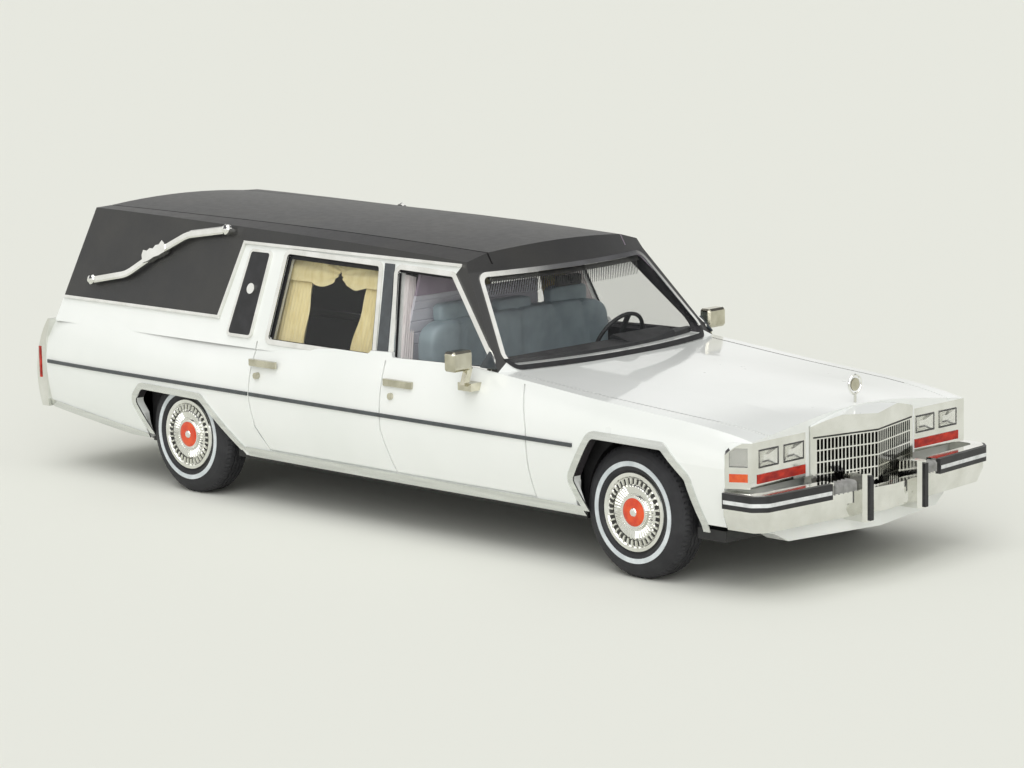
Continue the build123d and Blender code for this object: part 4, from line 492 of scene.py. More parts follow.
rubber = new_material("gasket_rubber", srgb(24, 24, 26), 0.6)
color_between(rubber, pattern(rubber, "Noise", 1.2, Detail=4.0), srgb(18, 18, 20), srgb(32, 32, 34))
bump(rubber, pattern(rubber, "Noise", 5.0), 0.01)
gaskets = []
for side in (-1, 1):
    for outline, width in GASKETS:
        lip = [(x, z if z > SILL_BELOW else sill_z + SILL_LIP)
               for (x, z), (_, sill_z) in zip(drawn_in(outline, width), outline)]
        rim = drawn_in(outline, GASKET_PLAY)
        hoops = ((rim, 0.0), (rim, -GASKET_DEEP), (lip, -GASKET_DEEP))
        points = [on_side(side, x, z, out - GASKET_SUNK) for hoop, out in hoops for x, z in hoop]
        gaskets.append((points, hoop_faces(len(hoops), len(outline))))
add_piece("window_gaskets", joined(gaskets), rubber, "body")
refinish("windscreen_trim", rubber,
         lambda normal, middle, corners: all(c.z < SCREEN_SILL_Z * MM for c in corners))


# The curtains are two pleated drapes and a fan-pleated valance behind each
# rear door window, moulded in one and painted cream. On the model they are
# rigid, and their inner edges are rolled.
CURTAIN_MIDDLE, CURTAIN_HALF, CURTAIN_OPENING = -10.275, 11.6, 5.5
CURTAIN_LOW, CURTAIN_HIGH = 23.0, 35.0
DRAPE_DEPTH, DRAPE_TUCK, DRAPE_FLARE = -1.85, 0.5, 0.9
EDGE_ROLL, EDGE_ROLL_SHARE = 0.35, 0.12
PLEAT_DEPTH, PLEAT_PITCH = 0.16, 0.62
VALANCE_DEPTH, VALANCE_Z, SCALLOP_DIP = -1.4, 31.7, 0.45
TIP_RISE, TIP_HALF, TIP_CURVE = 1.8, 1.7, 1.6
FAN_PLEATS, FAN_Z, FAN_BEHIND, FAN_FLAT = 22, 33.0, 1.2, 0.5
HEM_OUT, HEM_ROWS = 0.22, 2
DRAPE_ROWS, DRAPE_STEPS = 20, 60
VALANCE_ROWS, VALANCE_STEPS = 12, 120
CREAM, CREAM_FOLD_SHADE = srgb(243, 230, 178), srgb(224, 206, 144)


def grid(rows):
    """Faces between rows of points of equal length."""
    across = len(rows[0])
    faces = [(r * across + k, r * across + k + 1, (r + 1) * across + k + 1, (r + 1) * across + k)
             for r in range(len(rows) - 1) for k in range(across - 1)]
    return [point for row in rows for point in row], faces


def pleated_drape(side, hand):
    """One drape with a rolled inner edge; hand is 1 for the forward one."""
    rows = []
    for level in range(DRAPE_ROWS + 1):
        up = level / DRAPE_ROWS
        z = CURTAIN_LOW + (VALANCE_Z + DRAPE_TUCK - CURTAIN_LOW) * up
        inner = CURTAIN_OPENING - DRAPE_FLARE * (1 - up)
        row = []
        for step in range(DRAPE_STEPS + 1):
            share = step / DRAPE_STEPS
            u = inner + (CURTAIN_HALF - inner) * share
            fold = PLEAT_DEPTH * cos(2 * pi * (CURTAIN_HALF - u) / PLEAT_PITCH)
            roll = EDGE_ROLL * max(0.0, 1 - share / EDGE_ROLL_SHARE) ** 2
            row.append(on_side(side, CURTAIN_MIDDLE + hand * u, z, DRAPE_DEPTH + fold + roll))
        rows.append(row)
    return grid(rows)


def valance_edge(u):
    """The lower edge of the valance at u millimetres from the middle: two scallops and an ogee tip."""
    reach = min(abs(u), CURTAIN_OPENING)
    if reach < TIP_HALF:
        return VALANCE_Z + TIP_RISE * (1 - reach / TIP_HALF) ** TIP_CURVE
    return VALANCE_Z - SCALLOP_DIP * sin(pi * (reach - TIP_HALF) / (CURTAIN_OPENING - TIP_HALF))


def half_valance(side, hand):
    """Half of a valance with a thick hem, its pleats fanned out from beside the tip."""
    rows = []
    for level in range(VALANCE_ROWS + 1):
        row = []
        for step in range(VALANCE_STEPS + 1):
            u = CURTAIN_HALF * step / VALANCE_STEPS
            low = valance_edge(u)
            z = low + (CURTAIN_HIGH - low) * level / VALANCE_ROWS
            turn = (z - FAN_Z) / (u + FAN_BEHIND)
            fold = PLEAT_DEPTH * cos(FAN_PLEATS * turn) * min(1.0, u / FAN_FLAT)
            hem = HEM_OUT * max(0.0, 1 - level / HEM_ROWS)
            row.append(on_side(side, CURTAIN_MIDDLE + hand * u, z, VALANCE_DEPTH + fold + hem))
        rows.append(row)
    return grid(rows)


cloth = new_material("curtain_cream", CREAM, 0.75, Sheen_Weight=0.15, Sheen_Roughness=0.5)
# Painted shade of the folds: darker cream in random vertical streaks.
color_between(cloth, pattern(cloth, "Noise", 0.5, (3, 3, 0.4), Detail=4.0), CREAM_FOLD_SHADE, CREAM, 0.2, 0.6)
bump(cloth, pattern(cloth, "Noise", 5.0, Detail=2.0), 0.015, 0.6)
curtains = [make(side, hand) for side in (-1, 1) for hand in (-1, 1)
            for make in (pleated_drape, half_valance)]
curtain_piece = add_piece("pleated_curtains", joined(curtains), cloth, "body", smooth=True)
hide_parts("curtains")


# The fluted drapes stand beside the front windows, on the partition, as pale
# moulded columns a little off vertical. An end of a column has its height,
# its front and back along the car, and its near and far depth in the cabin.
FLUTED_ENDS = ((22.5, 5.1, 3.3, -1.2, -3.4), (34.0, 2.9, 1.2, -1.2, -2.6))
FLUTES, FLUTE_DEPTH, FLUTE_STEPS = 5, 0.14, 40
pale_cloth = new_material("pillar_drape", srgb(244, 237, 235), 0.7)
color_between(pale_cloth, pattern(pale_cloth, "Noise", 0.6, (3, 3, 0.4), Detail=4.0),
              srgb(232, 222, 221), srgb(246, 240, 238))
bump(pale_cloth, pattern(pale_cloth, "Noise", 4.0), 0.015, 0.6)
fluted_columns = []
for side in (-1, 1):
    rows = []
    for z, front, back, near, far in FLUTED_ENDS:
        row = [on_side(side, back, z, near)]
        for step in range(FLUTE_STEPS + 1):
            out = near + (far - near) * step / FLUTE_STEPS
            flute = FLUTE_DEPTH * abs(sin(pi * FLUTES * step / FLUTE_STEPS))
            row.append(on_side(side, front - FLUTE_DEPTH + flute, z, out))
        row += [on_side(side, back, z, far), row[0]]
        rows.append(row)
    fluted_columns.append(grid(rows))
    top = rows[1][:-1]
    fluted_columns.append((top, [tuple(range(len(top)))]))
drape_piece = add_piece("fluted_drapes", joined(fluted_columns), pale_cloth, "body")
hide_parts("curtains")


# The partition closes the cabin behind the bench: a pale moulded panel with
# shallow ribs above the seat, a lilac header over it in the headlining's colour,
# which is painted shade under the roof, and a lower wall that is painted dark
# like the floors.
PANEL_X, PANEL_THICK = 4.15, 0.45
PANEL_EDGE, PANEL_LEFT, PANEL_LOW, PANEL_TOP = -2.3, 7.0, 22.4, 31.0
PANEL_GROOVES, PANEL_GROOVE_HALF, PANEL_GROOVE_DEEP = (24.6, 26.1, 27.6, 29.1, 30.2), 0.12, 0.16
PANEL_BEVEL = 0.2
HEADER_LEFT, HEADER_TOP, HEADER_LAP = -6.5, 34.8, 0.1
PANEL_GREY = srgb(226, 226, 232)
panel_plastic = new_material("partition_plastic", PANEL_GREY, 0.6)
color_between(panel_plastic, pattern(panel_plastic, "Noise", 0.3, Detail=4.0),
              srgb(212, 211, 219), PANEL_GREY)
bump(panel_plastic, pattern(panel_plastic, "Noise", 3.0), 0.01)
profile = [(PANEL_LOW, 0.0)]
for groove in PANEL_GROOVES:
    profile += [(groove - PANEL_GROOVE_HALF, 0.0), (groove, -PANEL_GROOVE_DEEP),
                (groove + PANEL_GROOVE_HALF, 0.0)]
profile += [(PANEL_TOP - PANEL_BEVEL, 0.0), (PANEL_TOP, -PANEL_BEVEL),
            (PANEL_TOP, -PANEL_THICK), (PANEL_LOW, -PANEL_THICK), (PANEL_LOW, 0.0)]
panel_rows = [[(PANEL_X + out, on_side(-1, 0, z, PANEL_EDGE)[1], z) for z, out in profile],
              [(PANEL_X + out, PANEL_LEFT, z) for z, out in profile]]
panel_ends = [(row[:-1], [tuple(range(len(row) - 1))]) for row in panel_rows]
add_piece("partition_panel", joined([grid(panel_rows)] + panel_ends), panel_plastic, "body")

# The header is painted shade: a lilac strip, darker than the panel, stands for the shade under the roof.
header_low = PANEL_TOP - HEADER_LAP
header_rows = [[(x, on_side(-1, 0, z, PANEL_EDGE)[1], z) for z in (header_low, HEADER_TOP)]
               + [(x, HEADER_LEFT, z) for z in (HEADER_TOP, header_low)]
               for x in (PANEL_X - PANEL_THICK, PANEL_X)]
header_parts = [(row, [(0, 1, 2, 3)]) for row in header_rows]
header_parts.append(grid([row + row[:1] for row in header_rows]))
add_piece("partition_shade_header", joined(header_parts), headlining, "body")

interior_dark = new_material("interior_dark", srgb(34, 31, 34), 0.85)
color_between(interior_dark, pattern(interior_dark, "Noise", 0.5, Detail=5.0),
              srgb(22, 20, 22), srgb(40, 36, 40))
bump(interior_dark, pattern(interior_dark, "Noise", 3.0, Detail=3.0), 0.05)
dress(interior_dark, "load_deck", "cabin_floor", "partition")


# The front bench is one moulding in blue-grey vinyl finish, with a crowned
# cushion and back, sewn-in channels, and three headrests on top.
SEAT_BLUE, SEAT_SHADE = srgb(166, 182, 188), srgb(148, 164, 170)
SEAT_HALF = 16.9
BACKREST, CUSHION = ((4.7, 13.0), (8.6, 27.9)), ((6.6, 8.3), (18.5, 15.1))
HEADREST_BACK, HEADREST_FRONT = 4.95, 7.05
# A headrest has its middle, its half width, and its lowest and highest point.
HEADRESTS = ((-10.4, 3.55, 27.2, 29.85), (10.4, 3.55, 27.2, 29.85), (0.0, 3.15, 26.7, 29.25))
SEAMS = (-11.5, -6.0, 0.0, 6.0, 11.5)
SEAM_DEPTH, SEAM_HALF, SEAM_CURVE = 0.3, 0.35, 0.7
PAD_FINE, HEADREST_FINE = 60, 16
PAD_SQUARE, HEADREST_SQUARE = 7.0, 5.0


def pad(low, high, fine, square, seams=()):
    """A crowned cushion between two corners, boxier as square grows, drawn in along seams."""
    middle = [(a + b) / 2 for a, b in zip(low, high)]
    half = [(b - a) / 2 for a, b in zip(low, high)]
    sides = []
    for axis in range(3):
        for way in (-1, 1):
            rows = []
            for i in range(fine + 1):
                row = []
                for j in range(fine + 1):
                    unit = [0.0, 0.0, 0.0]
                    unit[axis] = float(way)
                    unit[(axis + 1) % 3] = 2 * i / fine - 1
                    unit[(axis + 2) % 3] = 2 * j / fine - 1
                    size = sum(abs(u) ** square for u in unit) ** (1 / square)
                    place = [m + h * u / size for m, h, u in zip(middle, half, unit)]
                    for seam in seams:
                        near = max(0.0, 1 - abs(place[1] - seam) / SEAM_HALF)
                        for other in (0, 2):
                            place[other] -= (unit[other] / size) * SEAM_DEPTH * near ** SEAM_CURVE
                    row.append(tuple(place))
                rows.append(row)
            sides.append(grid(rows))
    return joined(sides)


vinyl = new_material("seat_vinyl", SEAT_BLUE, 0.5)
color_between(vinyl, pattern(vinyl, "Noise", 0.4, Detail=5.0), SEAT_SHADE, SEAT_BLUE)
roughness_between(vinyl, pattern(vinyl, "Noise", 1.5, Detail=3.0), 0.42, 0.6)
bump(vinyl, pattern(vinyl, "Voronoi", 4.0), 0.02, 0.5)
seat_pads = [pad((x_a, -SEAT_HALF, z_a), (x_b, SEAT_HALF, z_b), PAD_FINE, PAD_SQUARE, SEAMS)
             for (x_a, z_a), (x_b, z_b) in (BACKREST, CUSHION)]
seat_pads += [pad((HEADREST_BACK, y - half, low), (HEADREST_FRONT, y + half, high), HEADREST_FINE,
                  HEADREST_SQUARE) for y, half, low, high in HEADRESTS]
bench = add_piece("bench_seat", joined(seat_pads), vinyl, "body", smooth=True)
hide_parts("front_seat")


# Dashboard, wheel, mirror and chassis are moulded in black styrene with the
# light grain of the tool, and so is the panel behind the grille. The axles
# are plain steel rods.
STYRENE = srgb(44, 44, 45)
styrene = new_material("black_styrene", STYRENE, 0.5)
color_between(styrene, pattern(styrene, "Noise", 0.4, Detail=5.0), srgb(32, 32, 33), STYRENE)
roughness_between(styrene, pattern(styrene, "Noise", 0.7, Detail=4.0), 0.42, 0.62)
bump(styrene, pattern(styrene, "Noise", 5.0, Detail=2.0), 0.02, 0.6)
dress(styrene, "chassis", "dashboard", "steering_wheel", "cabin_mirror", "grille_backing")
steel = new_material("axle_steel", srgb(180, 180, 178), 0.3, Metallic=1.0)
color_between(steel, pattern(steel, "Noise", 1.0, Detail=4.0), srgb(150, 150, 148), srgb(190, 190, 188))
bump(steel, pattern(steel, "Noise", 4.0), 0.006)
dress(steel, "front_axle", "rear_axle")


# Chassis screws: two cross-head screws, blackened steel, driven into the
# posts that hold the body on the chassis.
SCREW_PLACES, SCREW_Z, SCREW_HALF, SCREW_DOME = (23.3, -14.1), 6.75, 0.85, 0.35
CROSS_HALF, CROSS_REACH, CROSS_DEEP = 0.13, 0.5, 0.3
SCREW_RINGS, SCREW_STEPS = 8, 48
screws = []
for screw_x in SCREW_PLACES:
    rows = []
    for ring in range(SCREW_RINGS + 1):
        share = ring / SCREW_RINGS
        row = []
        for step in range(SCREW_STEPS + 1):
            turn = 2 * pi * step / SCREW_STEPS
            x, y = SCREW_HALF * share * cos(turn), SCREW_HALF * share * sin(turn)
            in_cross = min(abs(x), abs(y)) < CROSS_HALF and max(abs(x), abs(y)) < CROSS_REACH
            drop = SCREW_DOME * (1 - share ** 2) - (CROSS_DEEP if in_cross else 0.0)
            row.append((screw_x + x, y, SCREW_Z - drop))
        rows.append(row)
    screws.append(grid(rows))
screw_steel = new_material("screw_steel", srgb(92, 92, 94), 0.35, Metallic=1.0)
color_between(screw_steel, pattern(screw_steel, "Noise", 2.0), srgb(66, 66, 68), srgb(104, 104, 106))
add_piece("chassis_screws", joined(screws), screw_steel, "body", smooth=True)


# Tyres are soft black rubber, stretched over the wheels. The tread has three
# zigzag grooves and a notched shoulder, as a passenger tyre of the time. A
# white rubber ring is let into the outer wall.
AXLES = [(joint["child"].removesuffix("_wheels"), joint["pos_m"][0] / MM) for joint in frame["joints"]]
AXLE_Z = frame["joints"][0]["pos_m"][2] / MM
WHEEL_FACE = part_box("front_tyres")[1][1] / MM
TREAD_RADIUS, TYRE_WIDTH = 8.4, 5.0
TREAD_STEPS, TREAD_BLOCK = 216, 3
GROOVE_PLACES, GROOVE_HALF, GROOVE_DEPTH, ZIGZAG = (1.85, 2.5, 3.15), 0.1, 0.22, 0.07
GROOVE_TAPER = 0.6
NOTCH_DEPTH = 0.16
# The walls are points of radius and depth; a shoulder's also have their share of a notch.
OUTER_WALL = [(5.1, 0.45), (5.45, 0.1), (5.75, 0.0), (6.36, 0.0), (6.9, 0.12), (7.3, 0.25),
              (7.75, 0.5), (8.02, 0.72)]
SHOULDER = ((8.2, 0.9, 1.0), (8.36, 1.15, 1.0), (8.4, 1.4, 0.6))
INNER_WALL = [(8.02, 4.28), (7.75, 4.5), (7.3, 4.75), (6.36, 5.0), (5.45, 4.9), (5.1, 4.55)]
TYRE_BLACK = srgb(46, 46, 49)


def wheel_point(side, axle_x, radius, turn, depth):
    """A point of a wheel: depth is millimetres in from its outer face."""
    return (axle_x + radius * cos(turn), side * (WHEEL_FACE - depth), AXLE_Z + radius * sin(turn))


def tyre_section(step):
    """Radius and depth along the tyre's section at one step round the wheel."""
    block = step // TREAD_BLOCK
    notch = NOTCH_DEPTH if step % TREAD_BLOCK == 0 else 0.0
    shift = ZIGZAG * (1 if block % 2 else -1)
    shoulder = [(radius - notch * share, depth) for radius, depth, share in SHOULDER]
    far_shoulder = [(radius, TYRE_WIDTH - depth) for radius, depth in reversed(shoulder)]
    bottom, bottom_half = TREAD_RADIUS - GROOVE_DEPTH, GROOVE_HALF * GROOVE_TAPER
    grooves = []
    for place in GROOVE_PLACES:
        at = place + shift
        grooves += [(TREAD_RADIUS, at - GROOVE_HALF), (bottom, at - bottom_half),
                    (bottom, at + bottom_half), (TREAD_RADIUS, at + GROOVE_HALF)]
    return OUTER_WALL + shoulder + grooves + far_shoulder + INNER_WALL


tyre_rubber = new_material("tyre_rubber", TYRE_BLACK, 0.7)
color_between(tyre_rubber, pattern(tyre_rubber, "Noise", 0.5, Detail=5.0), srgb(36, 36, 39), TYRE_BLACK)
roughness_between(tyre_rubber, pattern(tyre_rubber, "Noise", 0.8, Detail=3.0), 0.55, 0.8)
bump(tyre_rubber, pattern(tyre_rubber, "Noise", 4.0, Detail=2.0), 0.015, 0.6)
white_rubber = new_material("whitewall_rubber", srgb(216, 222, 224), 0.5)
color_between(white_rubber, pattern(white_rubber, "Noise", 0.6, Detail=4.0),
              srgb(200, 207, 210), srgb(222, 228, 230))
bump(white_rubber, pattern(white_rubber, "Noise", 3.0), 0.008)
dress(white_rubber, "front_whitewalls", "rear_whitewalls")
for axle_name, axle_x in AXLES:
    tyres = []
    for side in (-1, 1):
        rows = []
        for step in range(TREAD_STEPS + 1):
            at_step = step % TREAD_STEPS
            turn = 2 * pi * at_step / TREAD_STEPS
            rows.append([wheel_point(side, axle_x, r, turn, d) for r, d in tyre_section(at_step)])
        tyres.append(grid(rows))
    tread_name = f"{axle_name}_tread_tyres"
    tread = add_piece(tread_name, joined(tyres), tyre_rubber, f"{axle_name}_wheels")
    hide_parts(f"{axle_name}_tyres")


# Wheel covers: on the plated disc stand a ring of small bars over a blackened
# channel and, nearer the hub, fine radial ribs. The enamelled centre carries
# a plain bright button.
SLOT_LOW, SLOT_HIGH, SLOT_COUNT, SLOT_DEPTH, SLOT_DISH = 3.52, 4.22, 34, 0.27, 0.02
BAR_HALF, BAR_TAPER, BAR_TOP = 0.2, 0.8, 0.07
BAR_MIDDLE, CREST_LONG, CREST_WIDE = 4.0, 0.97, 0.6
# Ribs and button are levels of radius and depth.
RIB_LEVELS = ((2.25, 0.42), (2.37, 0.38), (2.8, 0.28), (3.2, 0.2), (3.34, 0.22))
RIB_COUNT, RIB_STEPS, RIB_HEIGHT = 44, 4, 0.1
BUTTON_LEVELS = ((0.02, -0.11), (0.25, -0.1), (0.45, -0.04), (0.55, 0.07))
CHANNEL_STEPS, BUTTON_STEPS = 96, 32
channel_black = new_material("channel_black", srgb(38, 38, 36), 0.5)
color_between(channel_black, pattern(channel_black, "Noise", 1.0), srgb(26, 26, 25), srgb(60, 60, 56))
enamel = new_material("enamel_orange", srgb(228, 76, 28), 0.3, Coat_Weight=0.3, Coat_Roughness=0.05)
color_between(enamel, pattern(enamel, "Noise", 0.9, Detail=4.0), srgb(212, 56, 20), srgb(232, 84, 28))
bump(enamel, pattern(enamel, "Noise", 2.0), 0.01)
dress(enamel, "front_hub_discs", "rear_hub_discs")


def ring_grid(side, axle_x, levels, steps, lift=None):
    """A surface round a wheel from (radius, depth) levels; lift(step, level) raises it."""
    rows = []
    for level, (radius, depth) in enumerate(levels):
        row = []
        for step in range(steps + 1):
            raised = lift(step, level) if lift else 0.0
            row.append(wheel_point(side, axle_x, radius, 2 * pi * step / steps, depth - raised))
        rows.append(row)
    return grid(rows)


def rib_lift(step, level):
    """Each rib rises on two of its four steps and runs out at both ends."""
    return RIB_HEIGHT if step % RIB_STEPS in (1, 2) and 0 < level < len(RIB_LEVELS) - 1 else 0.0


def cover_bar(side, axle_x, turn):
    """One bar across the channel, narrower nearer the hub and bevelled up to its crest."""
    foot, crest = [], []
    for radius, half in ((SLOT_LOW, BAR_HALF * BAR_TAPER), (SLOT_HIGH, BAR_HALF)):
        crest_radius = BAR_MIDDLE + CREST_LONG * (radius - BAR_MIDDLE)
        for way in (-1, 1):
            aside = way * half / radius
            foot.append(wheel_point(side, axle_x, radius, turn + aside, SLOT_DEPTH))
            crest.append(wheel_point(side, axle_x, crest_radius, turn + aside * CREST_WIDE, BAR_TOP))
    return foot + crest, [(4, 5, 7, 6), (0, 1, 5, 4), (2, 3, 7, 6), (0, 2, 6, 4), (1, 3, 7, 5)]


for axle_name, axle_x in AXLES:
    channels, bright = [], []
    for side in (-1, 1):
        channel_levels = ((SLOT_LOW, SLOT_DEPTH + SLOT_DISH), (SLOT_HIGH, SLOT_DEPTH))
        channels.append(ring_grid(side, axle_x, channel_levels, CHANNEL_STEPS))
        bright.append(ring_grid(side, axle_x, RIB_LEVELS, RIB_STEPS * RIB_COUNT, rib_lift))
        bright.append(ring_grid(side, axle_x, BUTTON_LEVELS, BUTTON_STEPS))
        bright += [cover_bar(side, axle_x, 2 * pi * number / SLOT_COUNT) for number in range(SLOT_COUNT)]
    wheels = f"{axle_name}_wheels"
    add_piece(f"{axle_name}_cover_channels", joined(channels), channel_black, wheels)
    add_piece(f"{axle_name}_cover_bars", joined(bright), bright_trim, wheels)


# Lamps. Clear and coloured lenses are separate mouldings with upright ribs;
# behind each clear pane sits a plated reflector pressed in four facets round
# a flat floor. A pane has its outer and inner edge across the car.
LENS_PANES = ((-19.07, -15.45), (-14.55, -10.8))
LENS_LOW, LENS_HIGH, LENS_BACK, LENS_FRONT = 15.9, 18.1, 65.52, 66.05
LENS_EDGE, REFLECTOR_FLOOR = 0.2, 0.3
lens_clear = new_material("lens_clear", (1.0, 1.0, 1.0), 0.02, Transmission_Weight=0.92, IOR=1.15)
roughness_between(lens_clear, pattern(lens_clear, "Noise", 1.0, Detail=2.0), 0.02, 0.1)
bump(lens_clear, pattern(lens_clear, "Wave", 0.55, (0, 1, 0)), 0.05, 0.5)
dress(lens_clear, "headlamp_lenses", "side_lamp_lenses")
lens_red = new_material("lens_red", srgb(196, 40, 24), 0.2, Specular_IOR_Level=0.35)
color_between(lens_red, pattern(lens_red, "Noise", 0.6, (1, 1, 2), Detail=4.0),
              srgb(150, 18, 10), srgb(208, 46, 20))
bump(lens_red, pattern(lens_red, "Wave", 0.5, (1, 1, 0)), 0.08, 0.7)
dress(lens_red, "signal_lenses", "tail_lenses")
lens_amber = new_material("lens_amber", srgb(226, 84, 24), 0.12, Coat_Weight=0.6, Coat_Roughness=0.04)
color_between(lens_amber, pattern(lens_amber, "Noise", 0.6, Detail=4.0),
              srgb(206, 66, 18), srgb(236, 104, 34))
bump(lens_amber, pattern(lens_amber, "Wave", 0.5, (1, 1, 0)), 0.08, 0.7)
dress(lens_amber, "side_marker_lenses")
reflectors = []
z_a, z_b = LENS_LOW + LENS_EDGE, LENS_HIGH - LENS_EDGE
middle_z = (z_a + z_b) / 2
for side in (-1, 1):
    for pane_out, pane_in in LENS_PANES:
        y_a, y_b = side * (pane_out + LENS_EDGE), side * (pane_in - LENS_EDGE)
        middle_y = (y_a + y_b) / 2
        rim = [(y_a, z_a), (y_b, z_a), (y_b, z_b), (y_a, z_b)]
        points = [(LENS_FRONT, y, z) for y, z in rim]
        points += [(LENS_BACK, middle_y + REFLECTOR_FLOOR * (y - middle_y),
                    middle_z + REFLECTOR_FLOOR * (z - middle_z)) for y, z in rim]
        reflectors.append((points, hoop_faces(2, len(rim)) + [(4, 5, 6, 7)]))
add_piece("lamp_reflectors", joined(reflectors), bright_trim, "body")


# A thin white line is inlaid along the middle of every bumper rub strip. It
# is laid on the strips by following their outer faces round the corners, from
# a centre on the car's axis. A line has its node, centre, height and half width.
STRIP_LINES = (("bumper_strips", 50.0, 12.12, 0.24), ("rear_bumper_strips", -52.0, 11.35, 0.2))
SWEEP_STEPS, SWEEP_REACH = 720, 60.0
LINE_LIFT, LINE_GAP, FACES_OUT = 0.03, 1.6, 0.2
line_white = new_material("strip_line", srgb(224, 226, 226), 0.4)
color_between(line_white, pattern(line_white, "Noise", 1.0, Detail=3.0),
              srgb(206, 208, 208), srgb(230, 232, 232))
lines = []
for node_name, centre_x, line_z, half in STRIP_LINES:
    strip_surface = surface_of(node_name)
    last = None
    for step in range(SWEEP_STEPS + 1):
        turn = 2 * pi * step / SWEEP_STEPS
        out = Vector((cos(turn), sin(turn), 0))
        pair = []
        for z in (line_z - half, line_z + half):
            origin = Vector((centre_x, 0, z)) + out * SWEEP_REACH
            hit, normal = strip_surface.ray_cast(origin, -out)[:2]
            if hit is not None and normal.dot(out) > FACES_OUT and (hit - origin).length < SWEEP_REACH:
                pair.append(tuple(hit + normal * LINE_LIFT))
        if len(pair) == 2 and last and (Vector(pair[0]) - Vector(last[0])).length < LINE_GAP:
            lines.append((last + pair, [(0, 1, 3, 2)]))
        last = pair if len(pair) == 2 else None
add_piece("rub_strip_lines", joined(lines), line_white, "body")


# A fine dark groove, flooded with ink, runs along the grille header above
# the openings and turns with the prow.
GROOVE_LOW, GROOVE_HIGH, GROOVE_REACH, GROOVE_STEPS = 18.12, 18.32, 9.5, 38
grille_surface = surface_of("grille")
groove_rows = []
for step in range(GROOVE_STEPS + 1):
    y = GROOVE_REACH * (2 * step / GROOVE_STEPS - 1)
    hits = [met_from_ahead(grille_surface, y, z) for z in (GROOVE_LOW, GROOVE_HIGH)]
    groove_rows.append([tuple(hit + Vector((LINE_LIFT, 0, 0))) for hit in hits])
add_piece("grille_header_groove", grid(groove_rows), channel_black, "body")


# Ribbed boots cover the bumper's top between the guards and the ends of the
# rub strips, moulded in grey rubber.
BOOT_IN, BOOT_OUT, BOOT_LOW, BOOT_HIGH = 6.15, 9.85, 11.7, 13.1
BOOT_BACK, BOOT_FRONT, BOOT_BEVEL, BOOT_SWEEP = 68.6, 70.5, 0.3, 0.09
BOOT_RIBS, BOOT_RIB_DEPTH = 5, 0.42
boots = []
for side in (-1, 1):
    rows = []
    for step in range(2 * BOOT_RIBS + 1):
        y = side * (BOOT_IN + (BOOT_OUT - BOOT_IN) * step / (2 * BOOT_RIBS))
        cut = BOOT_RIB_DEPTH if step % 2 else 0.0
        back, high = BOOT_BACK + cut, BOOT_HIGH - cut
        front = BOOT_FRONT - BOOT_SWEEP * (abs(y) - BOOT_IN) - cut
        rows.append([(back, y, BOOT_LOW), (back, y, high), (front - BOOT_BEVEL, y, high),
                     (front, y, high - BOOT_BEVEL), (front, y, BOOT_LOW)])
    boots.append(grid(rows))
    boots += [(row, [tuple(range(len(row)))]) for row in (rows[0], rows[-1])]
boot_rubber = new_material("boot_rubber", srgb(150, 150, 146), 0.5)
color_between(boot_rubber, pattern(boot_rubber, "Noise", 0.8, Detail=4.0),
              srgb(128, 128, 125), srgb(158, 158, 155))
add_piece("bumper_boots", joined(boots), boot_rubber, "body")


# Mirror glasses are thin bright plates let into the backs of the door mirror
# heads. The front plate is a bare plated pad between the bumper guards,
# stamped with the same round corners.
GLASS_X, GLASS_THICK, GLASS_ROUND = 19.97, 0.2, 0.5
GLASS_IN, GLASS_OUT, GLASS_LOW, GLASS_HIGH = 22.8, 25.6, 24.0, 26.0
PLATE_BACK, PLATE_FRONT, PLATE_ROUND = 70.45, 70.8, 0.35
PLATE_HALF, PLATE_LOW, PLATE_HIGH = 3.3, 9.0, 11.1
CORNER_STEPS = 4


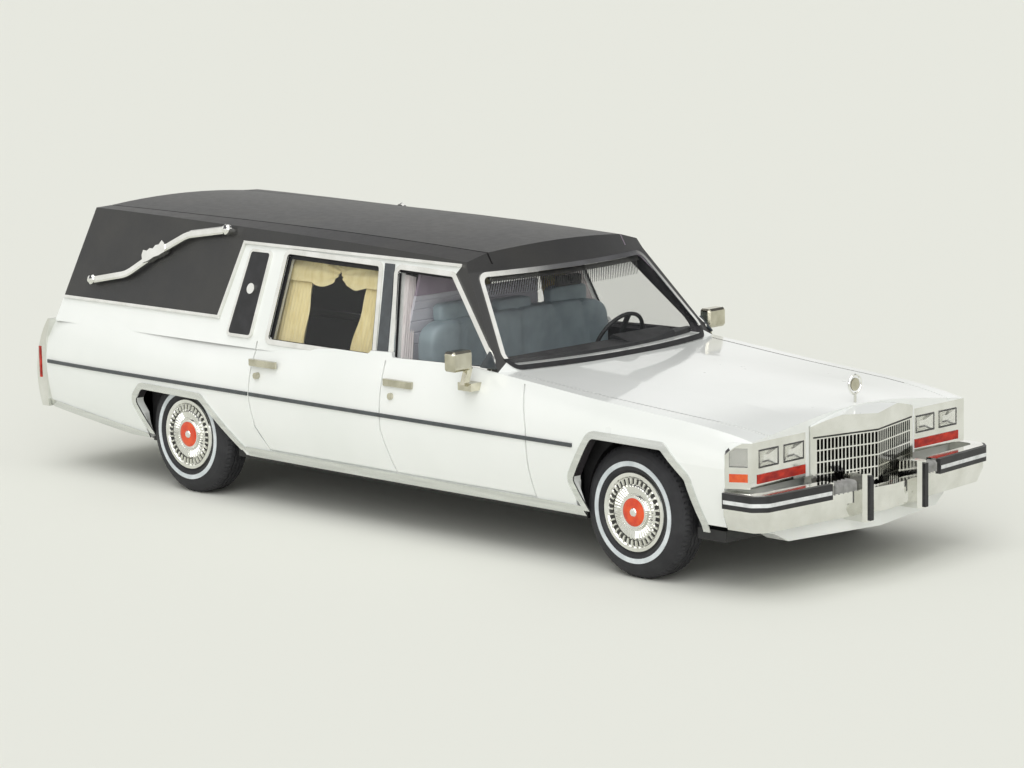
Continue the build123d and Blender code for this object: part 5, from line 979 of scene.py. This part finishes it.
def round_plate(x_near, x_far, y_range, z_range, radius):
    """A plate across the car between two x places, with rounded corners."""
    rim = []
    for corner, (y_end, z_end) in enumerate(((1, 1), (0, 1), (0, 0), (1, 0))):
        y = y_range[y_end] + (-radius if y_end else radius)
        z = z_range[z_end] + (-radius if z_end else radius)
        for step in range(CORNER_STEPS + 1):
            turn = pi / 2 * (corner + step / CORNER_STEPS)
            rim.append((y + radius * cos(turn), z + radius * sin(turn)))
    count = len(rim)
    points = [(x, y, z) for x in (x_near, x_far) for y, z in rim]
    return points, [tuple(range(count)), tuple(range(count, 2 * count))] + hoop_faces(2, count)


mirror_glass = new_material("mirror_glass", srgb(222, 226, 230), 0.02, Metallic=1.0)
roughness_between(mirror_glass, pattern(mirror_glass, "Noise", 0.5, Detail=4.0), 0.01, 0.07)
glasses = [round_plate(GLASS_X, GLASS_X + GLASS_THICK, widths, (GLASS_LOW, GLASS_HIGH), GLASS_ROUND)
           for widths in ((GLASS_IN, GLASS_OUT), (-GLASS_OUT, -GLASS_IN))]
add_piece("mirror_glasses", joined(glasses), mirror_glass, "body")
front_plate = round_plate(PLATE_BACK, PLATE_FRONT, (-PLATE_HALF, PLATE_HALF),
                          (PLATE_LOW, PLATE_HIGH), PLATE_ROUND)
add_piece("front_plate_blank", front_plate, bright_trim, "body")


# The stand-up ornament holds a plain medallion inside its ring, thinner
# towards its rim and plated like the door mirrors.
MEDALLION_X, MEDALLION_Z, MEDALLION_RADIUS = 65.2, 23.4, 0.8
MEDALLION_HALF, MEDALLION_THIN = 0.14, 0.5
MEDALLION_RINGS, MEDALLION_STEPS = 6, 40
medallion = []
for way in (-1, 1):
    rows = []
    for ring in range(MEDALLION_RINGS + 1):
        share = ring / MEDALLION_RINGS
        x = MEDALLION_X + way * MEDALLION_HALF * (1 - MEDALLION_THIN * share ** 2)
        radius = MEDALLION_RADIUS * share
        turns = [2 * pi * step / MEDALLION_STEPS for step in range(MEDALLION_STEPS + 1)]
        rows.append([(x, radius * cos(turn), MEDALLION_Z + radius * sin(turn)) for turn in turns])
    medallion.append(grid(rows))
add_piece("ornament_medallion", joined(medallion), champagne, "body", smooth=True)
